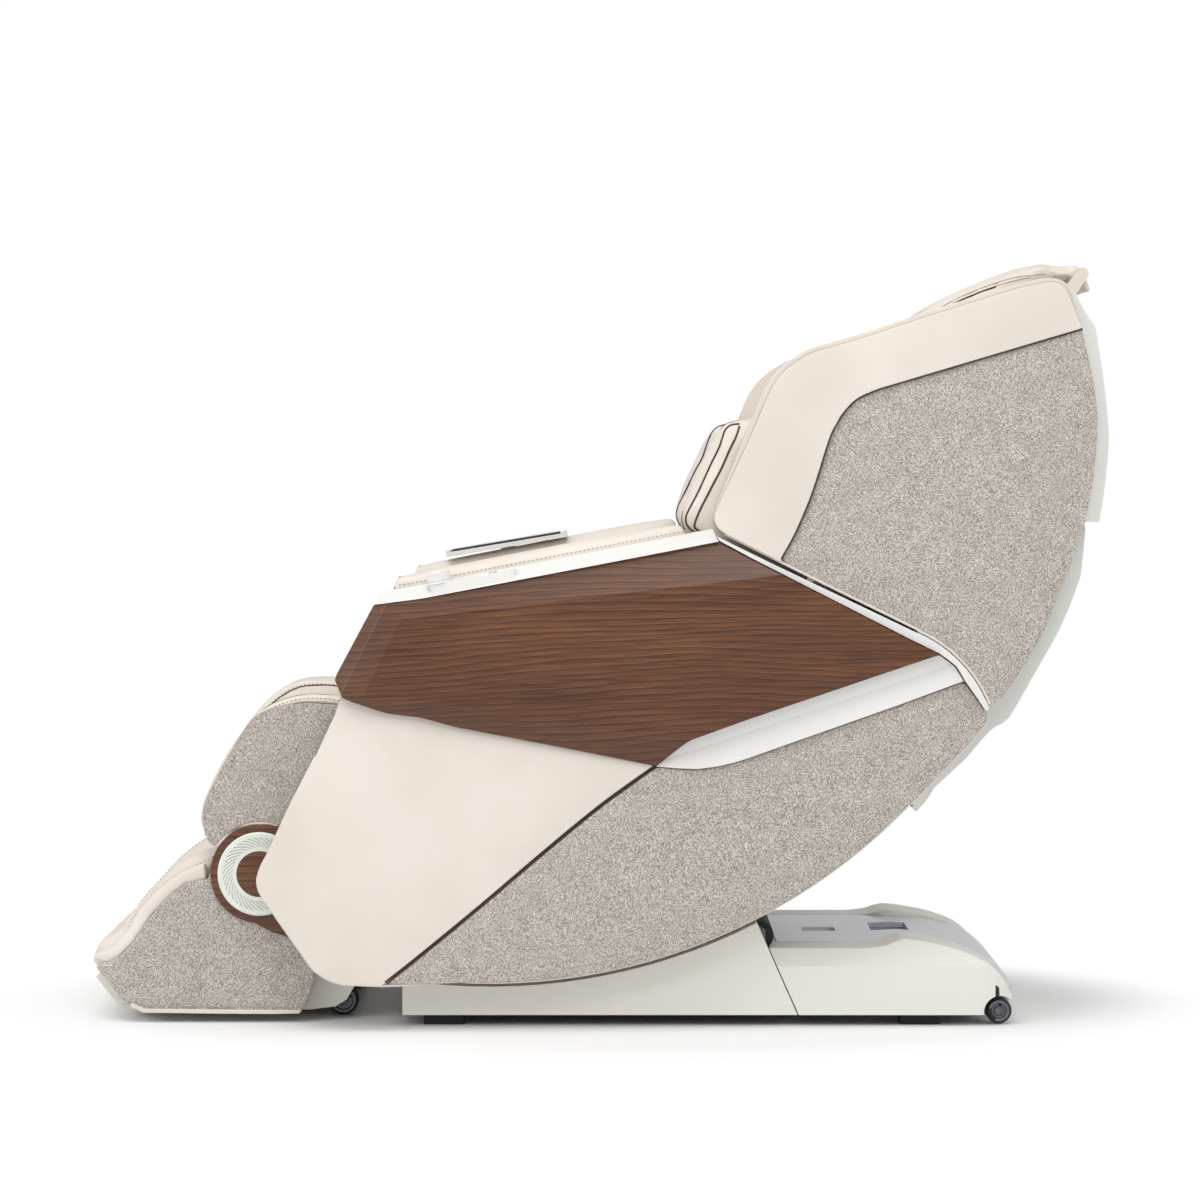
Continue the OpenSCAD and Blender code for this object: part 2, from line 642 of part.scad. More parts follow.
module wood_panel() {
    color(walnut) difference() {
        side(x_core, x_wood) polygon(wood_outline);
        outboard(x_wood, top_crease[0], top_crease[1], -16);
        outboard(x_wood, low_crease[0], low_crease[1], 22);
        // The front rounds off in two facets
        outboard(x_wood, [-340, 530], [-285, 640], -15);
        outboard(x_wood - 10, [-378, 530], [-323, 640], -36);
        side(x_core - 1, x_core + 12) polygon(drawn_in(ccw(wood_pocket), wood_wall));
    }
}
module left_wood_panel() { wood_panel(); }
module right_wood_panel() { mirror([1, 0, 0]) wood_panel(); }

trim_crease = [[166, 437], [545, 562]];
module side_trims() {
    color(white) mirrored() difference() {
        side(x_core, x_panel + 10) polygon(drawn_in(ccw(trim_outline), 0.6));
        intersection() {
            outboard(x_panel, trim_crease[0], trim_crease[1], 20);
            outboard(x_panel, trim_crease[0], trim_crease[1], -12);
        }
    }
}

console_rise = 20;
console_out = x_wood - 5;
console_in = x_in + arm_pad_w + 1;

// The sloping top of the arm between the wood and the armrest pad
module console_block() {
    difference() {
        side(console_in, console_out)
            polygon(concat(arm_top, [[176, 766], [97, 750], [-270, 680], [-325, 668]]));
        outboard(console_out, [-263, 659], [97, 728],
                 -atan((console_out - console_in) / console_rise));
    }
}

module arm_consoles() {
    strip = concat(wing_line, seam_arc, [[588, 490], [576, 508], [557, 535], [544, 557],
                   [530, 568], [518, 576.5], [473, 598.5], [238, 718.5], [186, 746.5]]);
    color(white) difference() {
        mirrored() {
            console_block();
            side(x_core, x_panel + 14) polygon(strip);
        }
        pod_body(0.2);
        on_arm() translate([0, 0, pod_h - 0.2]) cylinder(r = pod_disc_r + 0.3, h = 30);
    }
}

module arm_pads() {
    path = [for (q = spline([[-306, 655], [-263, 660], [-80, 695], [97, 729], [140, 737]], 3)) q + [0, 12.5]];
    color(cream) mirrored()
        pad(path, arm_pad_h - 12, x_in + 0.5, x_in + arm_pad_w, back = 12, nx = 8, power = 5);
}

// The control pod on the left console lies along the arm's slope
arm_slope = atan2(728 - 659, 97 + 263);
pod_at = [x_in + 66, -232, 668.5];
pod_l = 104;
pod_r = 17;
pod_h = 14;

module on_arm() { translate(pod_at) rotate([arm_slope, 0, 0]) children(); }

pod_disc_r = 20;
module pod_body(grow) {
    on_arm() translate([0, 0, -10 - grow]) {
        cylinder(r = pod_r + grow, h = pod_h + 10 + grow);
        translate([0, pod_l, 0]) cylinder(r = pod_r - 5 + grow, h = pod_h + 10 + grow);
        linear_extrude(pod_h + 10 + grow)
            polygon([[-pod_r - grow, 0], [pod_r + grow, 0], [pod_r - 5 + grow, pod_l],
                     [5 - pod_r - grow, pod_l]]);
    }
}
module control_pod() {
    color(white) difference() {
        union() {
            pod_body(0);
            on_arm() translate([0, 0, pod_h])
                rotate_extrude() polygon([[0, 0], [pod_disc_r, 0], [pod_disc_r - 1, 3], [0, 3]]);
        }
        // It stands on the wood's and the console's top
        side(x_in, x_wood + 20) polygon(concat(arm_top, [[185, 500], [-331, 500]]));
        on_arm() translate([0, 0, -6]) cylinder(r = knob_shaft_d / 2 + run_fit, h = 60);
        on_arm() translate([0, pod_l - 22, pod_h - key_travel - 4])
            cylinder(r = key_d / 2 + 0.3, h = 60);
    }
}

module control_knob() {
    color(white) on_arm() translate([0, 0, pod_h + 3.4]) difference() {
        union() {
            rotate_extrude($fn = 72) polygon([[0, 0], [knob_d / 2, 0], [knob_d / 2, knob_h - 2],
                                              [knob_d / 2 - 2, knob_h], [0, knob_h]]);
            translate([0, 0, -20]) cylinder(r = knob_shaft_d / 2, h = 21);
        }
        for (i = [0 : knob_flutes - 1]) rotate(360 / knob_flutes * i)
            translate([knob_d / 2 + 0.3, 0, 1]) cylinder(r = 1, h = knob_h + 2, $fn = 6);
        translate([0, 0, knob_h - 1]) cylinder(r = knob_d / 2 - 5, h = 3);
    }
}

module quick_key() {
    color(white) on_arm() translate([0, pod_l - 22, pod_h - 3.5])
        rotate_extrude() polygon([[0, 0], [key_d / 2, 0], [key_d / 2, 4], [key_d / 2 - 1, 5], [0, 5]]);
}

tablet_slope = 9.5;
tablet_mid = [-x_in - 35.5, -149, 727];
post_x = -30;
post_r = 13;
stem_r = 6;
stem_l = 16;
tray_t = 4;
module at_tablet() { translate(tablet_mid) rotate([tablet_slope, 0, 0]) children(); }

module tablet_dock() {
    color(white) difference() {
        at_tablet() difference() {
            translate([post_x, 0, -60]) cylinder(r = post_r, h = 60 - tray_t - clear);
            translate([post_x, 0, -tray_t - stem_l - 2]) cylinder(r = stem_r + run_fit, h = 60);
        }
        // Its foot follows the console's slope
        mirror([1, 0, 0]) outboard(console_out, [-263, 659], [97, 728],
                                   180 - atan((console_out - console_in) / console_rise));
    }
}

// The remote in its cradle: a tray with raised ends, the glass on top, and the swivel stem
module tablet() {
    l = tablet_l;
    w = tablet_w;
    color(white) at_tablet() {
        difference() {
            union() {
                translate([-w / 2, -l / 2, -tray_t]) cube([w, l, 7.5]);
                for (e = [-l / 2, l / 2 - 8]) translate([4 - w / 2, e, -tray_t]) cube([w - 8, 8, 10]);
            }
            translate([6 - w / 2, 10 - l / 2, 1]) cube([w - 12, l - 20, 10]);
        }
        translate([post_x, 0, -tray_t - stem_l]) cylinder(r = stem_r, h = stem_l + 1);
    }
    color(black) at_tablet() translate([6.5 - w / 2, 10.5 - l / 2, 1]) cube([w - 13, l - 21, tablet_t - 2]);
}

seat_line = spline([[-236, 437], [-150, 412], [-40, 398], [80, 393], [196, 400]], 3);
module seat_cushion() {
    color(cream) pad(seat_line, 68, -seat_hw, seat_hw, back = cushion_back, nx = 16, power = 5,
                     channels = [[-120, 16, 12], [120, 16, 12]]);
}

module seat_side_pads() {
    color(cream) mirrored() pad(seat_line, 128, seat_hw + 2, x_in - clear, back = cushion_back, nx = 8, power = 3);
}

// Recline drive: its rod pushes a crank under the recline pivot
crank_r = 65;
crank_pin_r = 6;
recline_rest = -65;
recline_dir = [-0.985, -0.174];
crank_at = back_c + crank_r * dir(recline_rest);

module actuator(p, d, reach, tube_l) {
    a = atan2(d[1], d[0]);
    translate([0, p[0], p[1]]) rotate([a, 0, 0]) {
        difference() {
            translate([0, reach, 0]) rotate([-90, 0, 0]) cylinder(r = 15, h = tube_l);
            translate([0, reach - 1, 0]) rotate([-90, 0, 0]) cylinder(r = 8 + run_fit, h = tube_l - 8);
        }
        translate([-20, reach + tube_l, -22]) cube([56, 46, 44]);
        translate([20, reach + tube_l - 70, 0]) rotate([-90, 0, 0])
            translate([16, 0, 0]) cylinder(r = 16, h = 71);
    }
}

// A push rod whose eye is slotted, so the crank's arc is free
module push_rod(p, d, reach, slot) {
    a = atan2(d[1], d[0]);
    translate([0, p[0], p[1]]) rotate([a, 0, 0]) difference() {
        union() {
            translate([0, 8, 0]) rotate([-90, 0, 0]) cylinder(r = 8, h = reach - 8);
            translate([-7, -11, -slot - 10]) cube([14, 22, 2 * slot + 20]);
        }
        for (z = [-slot, 0, slot]) translate([-10, 0, z]) rotate([0, 90, 0])
            cylinder(r = crank_pin_r + 1.6, h = 20);
        translate([-10, -crank_pin_r - 1.6, -slot]) cube([20, 2 * crank_pin_r + 3.2, 2 * slot]);
    }
}

module recline_actuator() { color(black) actuator(crank_at, recline_dir, 70, 150); }
module recline_rod() { color(steel) push_rod(crank_at, recline_dir, 172, 4); }

leg_crank_r = 75;
leg_rest_a = -60;
leg_dir = [1, -0.07];
leg_crank_at = leg_c + leg_crank_r * dir(leg_rest_a);
// The rod's line runs below the crank pin's rest, midway in the pin's arc
leg_line = leg_crank_at - [0, 5];
module leg_actuator() { color(black) actuator(leg_line, leg_dir, 90, 130); }
module leg_rod() { color(steel) push_rod(leg_line, leg_dir, 200, 8); }

// Air pump and power board on the pan
module control_box() {
    color(black) {
        box_z = belly_z(70, pan_in_r) + 0.2;
        translate([-150, -60, box_z]) cube([120, 130, 90]);
        translate([60, -60, box_z]) cube([70, 130, 60]);
        for (y = [-40, 0, 30]) translate([-30, y, box_z + 23]) rotate([0, 90, 0]) cylinder(r = 5, h = 90);
    }
}

// ---------- backrest ----------

wing_front = [
    [178, 780], [183, 766], [195, 757], [268, 720], [336, 686], [482, 614.5]
];
wing_tail = arc(back_c, seam_r, 66, 22, 10);
wing_rear = [
    [599, 501], [610, 508], [622, 523], [652, 569], [677, 615], [693, 657], [710, 699],
    [735, 769], [748, 840], [754, 899], [754, 939], [747, 989], [730, 1063]
];
wing_top = [
    [727, 1071], [708, 1120], [702, 1129], [687, 1135], [669, 1133], [630, 1124], [511, 1087],
    [397, 1049], [323, 1028], [303, 1016], [287, 1004], [274, 991], [262, 971], [231, 898],
    [182, 794]
];
wing_outline = concat(wing_front, wing_tail, wing_rear, wing_top);
wing_seam = [
    [730, 1063], [457, 983], [424, 973], [393, 959], [373, 939], [363, 923], [351, 898],
    [326, 819], [301, 759], [283.5, 719]
];
fabric_outline = concat(
    [for (q = wing_seam) q + [clear, -clear]],
    [[336, 690], [484, 618]], arc(back_c, seam_r + 4, 65, 27, 9), [for (i = [0 : 11]) wing_rear[i]]);

// The leather band stands proud of the bed that the cloth lies in
wing_bed_x = x_wing_out - 10;
band_outline = concat([for (i = [1 : 14]) wing_top[i]],
                      [[178, 780], [183, 766], [195, 757], [268, 720], [281, 713.5]],
                      [for (i = [8 : -1 : 0]) wing_seam[i]]);

module wing() {
    color(cream) {
        soft_slab(wing_outline, [[x_wing_in, 6], [x_wing_in + 5, 2], [x_wing_in + 12, 0], [wing_bed_x, 0]]);
        soft_slab(band_outline, [[wing_bed_x, 0], [x_wing_out - 6, 0], [x_wing_out - 3, 2], [x_wing_out, 8]]);
    }
}
module left_wing() { wing(); }
module right_wing() { mirror([1, 0, 0]) wing(); }

module wing_fabrics() {
    color(heather) mirrored()
        soft_slab(drawn_in(ccw(fabric_outline), 1.6), crowned(wing_bed_x + 0.1, x_wing_out - 2, 4));
}

upper_out = [
    [734, 1122], [748, 1094], [765, 1000], [774, 919], [774, 880], [768, 819], [761, 774]
];
lower_out = [
    [748, 766], [742, 703], [736, 677], [710, 612], [665, 531], [631, 473], [604, 455],
    [566, 411]
];

hood = [[716, 1112], [734, 1122], [722, 1131], [690, 1124], [640, 1107], [609, 1087], [580, 1046],
        [557, 1002], [553, 990], [559, 986], [563, 998], [586, 1042], [614, 1080], [645, 1098]];
module back_shell() {
    outer = spline(upper_out, 3);
    inner = [[741, 774], [737.5, 777], [750, 840], [756.5, 899], [756.5, 939], [749.5, 989],
             [733, 1063], [716, 1112]];
    color(shell_white) difference() {
        union() {
            side(-x_wing_out + 34, x_wing_out - 34) polygon(concat(outer, inner));
            // The hood that closes the top between the wings, down to the back cushion
            side(-x_wing_in + clear, x_wing_in - clear) polygon(hood);
            // Ribs to the frame's plates, and the ears that carry the pillow
            mirrored() side(plate_in - 6, plate_in)
                polygon([[640, 860], [640, 890], [758, 900], [754, 868]]);
            mirrored() side(pillow_hw + clear, pillow_hw + 8)
                polygon(concat([[728, 1118], [740, 1110], [752, 1112]], arc(pillow_roll, 9, -40, 150, 8)));
        }
    }
    color(steel) mirrored() bar(pillow_roll, pillow_pin_r, pillow_hw - 14, pillow_hw + 8);
}

// The lower shell passes inside the arms as the back reclines; louvres let the drive breathe
lower_path = concat(spline(lower_out, 3), arc(back_c, 127, -27, -48, 5));
flange_inner = [[483, 346], [508, 386], [516, 424], [530, 500], [580, 560], [640, 640], [690, 720],
                [706, 772]];
module lower_shell() {
    path = lower_path;
    color(shell_white) difference() {
        union() {
            side(-x_in + 7, x_in - 7) polygon(band(path, -shell_t));
            // Side flanges close the gap beside the wings
            mirrored() side(x_in - 15, x_in - 7) polygon(concat(path, flange_inner));
            mirrored() side(plate_in - 6, plate_in) polygon([[545, 600], [545, 625], [702, 610], [693, 592]]);
        }
        for (i = [-5 : 5]) for (z = [0 : 4])
            translate([i * 26 - 9, 640, 566 + z * 18]) rotate([-28, 0, 0]) cube([18, 160, 7]);
    }
}

cushion_line = spline([[296, 446], [330, 540], [392, 670], [456, 800], [520, 930], [548, 984]], 3);
module back_cushion() {
    color(cream) pad(cushion_line, 68, -back_hw, back_hw, back = cushion_back, nx = 16, power = 5,
                     channels = [[-70, 14, 12], [70, 14, 12]]);
    // Narrow pads beside it, out to the wings
    color(cream) mirrored() pad(cushion_line, 50, back_hw + 2, x_in - 3, back = cushion_back, nx = 6, power = 4);
}

bolster_outline = concat(
    [[150, 748], [140, 755], [132, 765], [129, 777], [131, 789]],
    spline([[138, 804], [155, 840], [172, 875]], 2),
    [[187, 910], [192, 920], [200, 927], [211, 930], [245, 934], [320, 930], [408, 905],
     [362, 770], [300, 640], [280, 612], [262, 618]]);
module bolsters() {
    color(cream) mirrored()
        soft_slab(bolster_outline, [[x_in - 76, 9], [x_in - 72, 3], [x_in - 66, 0], [x_in - 10, 0], [x_in - 6, 3], [x_in - 2, 9]]);
    // Blocks that hold them to the wings
    color(cream) mirrored() soft_slab([[262, 800], [338, 800], [380, 898], [292, 898]],
                                      [[x_in - 2, 0], [x_wing_in, 0]]);
}

pillow_roll = [770, 1157];
pillow_hw = 160;
pillow_pin_r = 4;
module head_pillow() {
    outline = concat(
        [[544, 997], [500, 1018]],
        spline([[486, 1036], [483, 1062], [492, 1081], [505, 1093], [556, 1122], [615, 1147],
                [660, 1163], [692, 1170], [714, 1166]], 2),
        [[753, 1165], [770, 1168], [779, 1160], [777, 1148], [787, 1128], [779, 1124], [764, 1148],
         [752, 1155], [716, 1155]],
        spline([[690, 1149], [648, 1130], [606, 1096], [576, 1052]], 2));
    color(cream) difference() {
        soft_slab(outline, [[-pillow_hw, 3], [2 - pillow_hw, 1], [5 - pillow_hw, 0],
                            [pillow_hw - 5, 0], [pillow_hw - 2, 1], [pillow_hw, 3]]);
        mirrored() bar(pillow_roll, pillow_pin_r + run_fit, pillow_hw - 15, pillow_hw + 5);
    }
}

track_dir = unit([230, 475]);
track_n = left_of(track_dir);
track_foot = [424, 556];
track_a = atan2(track_dir[1], track_dir[0]);
// Local frame of the massage track: +Y up the back, +Z towards the sitter
module on_track() { translate([0, track_foot[0], track_foot[1]]) rotate([track_a, 0, 0]) children(); }

// A flat strap behind the cushion, between two points of its back line
module strap(i, j) {
    b = shifted(cushion_line, -cushion_back);
    c = shifted(cushion_line, -cushion_back - 6);
    side(-plate_out, plate_out) polygon([b[i], b[j], c[j], c[i]]);
}

module back_frame() {
    color(steel) difference() {
        union() {
            mirrored() {
                side(plate_in, plate_out)
                    polygon([[372, 424], [385, 400], [405, 392], [430, 402], [446, 440], [500, 530],
                             [632, 700], [700, 1010], [694, 1046], [664, 1050], [563, 976],
                             [471, 792], [407, 663], [345, 533], [354, 480]]);
                side(42, 50)
                    polygon([crank_at + [-10, -4], crank_at + [0, -11], crank_at + [10, -2],
                             [452, 452], [448, 476], [430, 480]]);
            }
            bar([448, 466], 11, -plate_out, plate_out);
            for (c = [[612, 712], [676, 1020]]) bar(c, 11, -x_wing_in, x_wing_in);
            bar(crank_at, crank_pin_r, -50, 50);
            strap(2, 4);
            strap(13, 15);
        }
        mirrored() bar(back_c, recline_pin_d / 2 + run_fit, plate_in - 16, seat_plate_out + 4);
    }
}

module massage_rails() {
    color(steel) on_track() difference() {
        for (s = [-1, 1]) translate([s * track_gap / 2 - 9, 0, -14]) cube([18, track_l, 28]);
        for (s = [-1, 1]) translate([s * track_gap / 2 - (s > 0 ? 10 : -3), -1, -9]) cube([7, track_l + 2, 18]);
    }
    color(steel) on_track() for (y = [14, track_l - 30]) for (s = [-1, 1])
        translate([s > 0 ? track_gap / 2 + 9 : -plate_in, y, -8])
            cube([plate_in - track_gap / 2 - 9, 16, 16]);
}

carriage_y = 70;
carriage_l = 120;
module massage_carriage() {
    hw = track_gap / 2 - 9 - clear;
    color(black) on_track() difference() {
        union() {
            translate([-hw, carriage_y, -30]) cube([2 * hw, carriage_l, 13]);
            mirrored() for (y = [16, carriage_l - 32]) translate([hw - 6, carriage_y + y, -20])
                cube([6, 16, 26]);
            mirrored() for (y = [24, carriage_l - 24]) translate([hw - 1, carriage_y + y, 0])
                rotate([0, 90, 0]) cylinder(r = 8, h = 7);
            mirrored() translate([90, carriage_y + carriage_l / 2 - 20, -20]) cube([12, 40, 38]);
        }
        translate([-120, carriage_y + carriage_l / 2, 6]) rotate([0, 90, 0])
            cylinder(r = 8 + run_fit, h = 240);
    }
    color(steel) on_track() translate([-40, carriage_y + 20, -68]) cube([80, 80, 38]);
}

// Two forked arms on one shaft; each carries a roller above and below
kneader_span = 48;
module kneading_head() {
    color(steel) on_track() translate([0, carriage_y + carriage_l / 2, 6]) {
        translate([-102, 0, 0]) rotate([0, 90, 0]) cylinder(r = 8, h = 204);
        difference() {
            for (s = [-1, 1]) translate([s * 60 - 6, 0, 0]) rotate([0, 90, 0]) linear_extrude(12)
                polygon([[10, -12], [10, 12], [-2, kneader_span + 8], [-20, kneader_span + 8],
                         [-22, kneader_span - 4], [-10, 0], [-22, 4 - kneader_span],
                         [-20, -kneader_span - 8], [-2, -kneader_span - 8]]);
            for (s = [-1, 1]) translate([-120, s * kneader_span, 12]) rotate([0, 90, 0])
                cylinder(r = 5 + run_fit, h = 240);
        }
    }
}

module kneading_rollers(s) {
    color(cream) on_track() translate([0, carriage_y + carriage_l / 2 + s * kneader_span, 18]) {
        translate([-86, 0, 0]) rotate([0, 90, 0]) cylinder(r = 5, h = 172);
        for (m = [-1, 1]) translate([m * 79, 0, 0]) rotate([0, 90, 0]) translate([0, 0, -9])
            rotate_extrude() polygon([[5, 0], [kneader_r - 12, 0], [kneader_r - 6, 4], [kneader_r - 4, 9],
                                      [kneader_r - 6, 14], [kneader_r - 12, 18], [5, 18]]);
    }
}
module upper_rollers() { kneading_rollers(1); }
module lower_rollers() { kneading_rollers(-1); }

// ---------- leg rest ----------

calf_dir = unit([-0.53, -0.848]);
well_x0 = 55;
well_x1 = well_x0 + well_w;
wall_in = well_x1 + 9;
wall_out = calf_half_w - 11;
rod_x = foot_half_w - 20;
calf_front = [[-470, 492], [-498, 485], [-519, 475], [-535, 459], [-558, 423], [-582, 380],
              [-600, 341], [-604, 316], [-600, 290], [-592, 276]];
ring_cut = arc(foot_c, cover_r + 4, 148, 24, 12);
calf_outline = concat([[-378, 487], [-396, 491], [-441, 494]], spline(calf_front, 2), ring_cut);
pad_cut = concat(arc(foot_c, cover_r + 4, 140, 44, 10), [[-444, 292]]);
// Front lines of the leather over the outer walls and over the middle divider
wall_top = [[-378, 499], [-396, 503], [-438, 507], [-471, 502], [-499, 492], [-518, 480],
            [-543, 452], [-563, 422], [-587, 380], [-604, 341], [-608, 316], [-606, 300], [-600, 284]];
middle_top = [[-378, 513], [-418, 520], [-459, 519], [-480, 514], [-503, 502], [-524, 484],
              [-547, 455], [-567, 422], [-590, 380], [-606, 341], [-609, 316], [-606, 300], [-600, 284]];

module calf_sides() {
    color(heather) mirrored()
        soft_slab(calf_outline, crowned(wall_out + 0.3, calf_half_w, 4));
}

// Box walls with the extension bores, the back plate, the pivot ears and the crank
calf_wall = [[-386, 484], [-441, 488], [-474, 485], [-500, 474], [-530, 453], [-574, 380],
             [-592, 341], [-596, 316], [-592, 296], [-560, 318], [-517, 320], [-470, 306],
             [-446, 282], [-449, 270], [-441, 268], [-378, 452]];
module calf_frame() {
    color(shell_white) difference() {
        union() {
            mirrored() {
                side(wall_in, wall_out) polygon(calf_wall);
                side(wall_out - 24, wall_out) polygon(concat(arc(leg_c, 26, -80, 130, 12),
                    [[-386, 484], [-390, 420]]));
            }
            side(-wall_in - 1, wall_in + 1)
                polygon([[-378, 452], [-386, 452], [-449, 270], [-441, 267]]);
            side(-30, 30) polygon([leg_crank_at + [-9, 4], leg_crank_at + [2, -6],
                                   leg_crank_at + [10, 6], [-306, 440], [-318, 458], [-380, 451],
                                   [-382, 430]]);
            bar(leg_c, 16, 10 - wall_out, wall_out - 10);
        }
        mirrored() bar(leg_c, leg_pin_d / 2 + run_fit, wall_out - 26, 300);
        // The push rod's eye works between the two crank cheeks
        translate([-9, -374, 340]) cube([18, 200, 66]);
        mirrored() rod_between(foot_c, foot_c - 205 * calf_dir, rod_d / 2 + run_fit, rod_x);
    }
    color(steel) bar(leg_crank_at, crank_pin_r, -30, 30);
}

module calf_pads() {
    color(cream) {
        mirrored() {
            // Leather over the outer walls: the well side and the rim
            soft_slab(concat(wall_top, pad_cut, [[-386, 456]]),
                      [[well_x1, 8], [well_x1 + 3, 2], [wall_in - 0.5, 0], [wall_in, 0]]);
            // Back of each well
            soft_slab(concat([[-388, 468], [-405, 471], [-432, 455], [-500, 330]],
                             arc(foot_c, cover_r + 5, 84, 44, 5), [[-445, 293]]),
                      [[well_x0 + 1, 3], [well_x0 + 5, 0], [well_x1 - 5, 0], [well_x1 - 1, 3]]);
        }
        soft_slab(concat(middle_top, pad_cut, [[-386, 456]]),
                  [[-well_x0, 8], [3 - well_x0, 3], [10 - well_x0, 0], [well_x0 - 10, 0],
                   [well_x0 - 3, 3], [well_x0, 8]]);
    }
    // The rim over the frame's wall, 0.2 mm clear of the leather inside it
    color(cream) mirrored() side(wall_in + 0.2, wall_out)
        polygon(concat([for (i = [0 : 11]) wall_top[i]], reverse([for (i = [0 : 8]) calf_wall[i]])));
}

module foot_slide() {
    color(steel) mirrored() difference() {
        union() {
            rod_between(foot_c - 18 * calf_dir, foot_c - 190 * calf_dir, rod_d / 2, rod_x);
            bar(foot_c, 20, rod_x - 8, rod_x + 8);
        }
        bar(foot_c, foot_pin_d / 2 + run_fit, rod_x - 10, rod_x + 10);
    }
}

foot_outline = concat(
    arc(foot_c, cover_r - 1, 100, 178, 6),
    [[-597, 222], [-629, 217], [-662, 192], [-687, 163], [-712, 126], [-732, 104], [-749, 94],
     [-771, 90], [-767, 80], [-751, 65], [-735, 40], [-716, 24], [-697, 16], [-577, 14.5], [-494, 14],
     [-456, 15], [-446, 28], [-430, 75]],
    [[-424, 140], [-442, 215]], arc(foot_c, cover_r - 1, 0, 80, 6));
foot_top = [[-604, 268], [-651, 243], [-689, 198], [-718, 168], [-735, 144], [-751, 131],
            [-768, 119], [-777, 106], [-785, 90]];

module foot_sides() {
    color(heather) mirrored()
        soft_slab(foot_outline, crowned(rod_x + 10, foot_half_w, 3));
}

foot_wall = [[-592, 210], [-625, 207], [-655, 184], [-678, 156], [-703, 121], [-726, 96],
             [-750, 84], [-740, 66], [-724, 48], [-706, 32], [-690, 26], [-577, 24], [-462, 24],
             [-456, 32], [-442, 84], [-440, 140], [-452, 212], [-470, 268], [-517, 292], [-560, 280],
             [-584, 250]];
module foot_shell() {
    heel = [[-455, 15], [-444, 15], [-404, 20], [-386, 31], [-374, 52], [-378, 100], [-404, 160],
            [-436, 222], [-448, 222], [-470, 120], [-476, 30]];
    color(white) difference() {
        union() {
            side(18 - rod_x, rod_x - 18) polygon(heel);
            translate([18 - rod_x, -740, 24]) cube([2 * (rod_x - 18), 280, 8]);
            side(-rod_x + 22, rod_x - 22)
                polygon([[-764, 74], [-776, 66], [-742, 22], [-720, 14], [-690, 14], [-690, 24], [-730, 32]]);
            mirrored() {
                side(rod_x - 18, rod_x - 9) polygon(foot_wall);
                // Packing out to the side panels, below the extension rods
                side(rod_x - 9.5, rod_x + 10)
                    polygon([[-690, 60], [-650, 40], [-480, 40], [-474, 112], [-560, 132], [-640, 150]]);
                bar(foot_c, foot_pin_d / 2, rod_x - 10, rod_x + 10);
            }
        }
        // Caster pockets and axle
        for (s = [-1, 1]) bar(caster_c, caster_d / 2 + 4, s * caster_x - caster_w / 2 - 2,
                              s * caster_x + caster_w / 2 + 2);
        for (s = [-1, 1]) translate([s * caster_x - caster_w / 2 - 2, -420, -10])
            cube([caster_w + 4, 60, caster_c[1] + 10]);
        bar(caster_c, axle_d / 2 + run_fit, -caster_x - 30, caster_x + 30);
    }
}

caster_c = [-394, caster_d / 2 + 1];
caster_x = 150;

module foot_pad() {
    block = concat(foot_top, [[-778, 78], [-764, 76], [-730, 34], [-480, 34], [-472, 122], [-452, 224]],
                   arc(foot_c, cover_r - 2, 10, 138, 8));
    color(cream) difference() {
        soft_slab(block, [[19 - rod_x, 4], [24 - rod_x, 0], [rod_x - 24, 0], [rod_x - 19, 4]]);
        mirrored() side(well_x0 - 5, rod_x - 46)
            polygon([[-720, 62], [-500, 58], [-496, 330], [-640, 330], [-700, 220], [-744, 140]]);
        bar([-600, 58], 26, -rod_x + 40, rod_x - 40);
    }
    color(cream) mirrored() side(rod_x - 9, rod_x + 10) polygon(concat(rim_outer, rim_inner));
}

// Leather rims along the top of the foot section's side walls
rim_outer = [[-600, 246], [-612, 244], [-640, 232], [-675, 204], [-699, 176], [-724, 138], [-742, 118],
             [-756, 110], [-776, 104]];
rim_inner = [[-777, 92], [-750, 88], [-733, 98], [-712, 122], [-688, 158], [-663, 187], [-630, 212],
             [-598, 218]];

module hinge_covers() {
    tail = [[-470, 150], [-452, 128], [-500, 141], [-527, 156]];
    color(walnut) mirrored() {
        side(foot_half_w, foot_half_w + 5) difference() {
            union() {
                translate(foot_c) circle(r = cover_r, $fn = 120);
                polygon([foot_c + cover_r * dir(-97), foot_c + cover_r * dir(-20), [-446, 190],
                         [-440, 128], [-456, 128], [-498, 141]]);
            }
        }
        side(foot_half_w + 5, foot_half_w + 8) translate(foot_c) circle(r = disc_r - 0.5, $fn = 96);
    }
}

// The perforated ring: slim slots that sweep round between disc and rim
module hinge_rings() {
    r0 = disc_r + 6;
    r1 = ring_r - 8;
    sweep = 26;
    w = 1.3;
    slot = [for (s = [-1, 1]) for (i = [0 : 4])
            let (k = s < 0 ? i : 4 - i, r = mix(r0, r1, k / 4)) (r + 0 * s) * dir(sweep * k / 4 + s * w * 57.3 / r)];
    color(white) mirrored() translate([foot_half_w + 5, foot_c[0], foot_c[1]]) rotate([90, 0, 90])
        difference() {
            rotate_extrude($fn = 120) polygon([[disc_r, 0], [ring_r, 0], [ring_r, 2], [ring_r - 2, 3.6],
                                               [disc_r + 1.5, 2.6], [disc_r, 2.6]]);
            for (i = [0 : ring_slots - 1]) rotate(360 / ring_slots * i) translate([0, 0, 1])
                linear_extrude(6) polygon(slot);
        }
}

module foot_casters() {
    for (s = [-1, 1]) wheel(caster_c, s * caster_x, caster_d, caster_w);
    color(steel) bar(caster_c, axle_d / 2, -caster_x - 24, caster_x + 24);
}

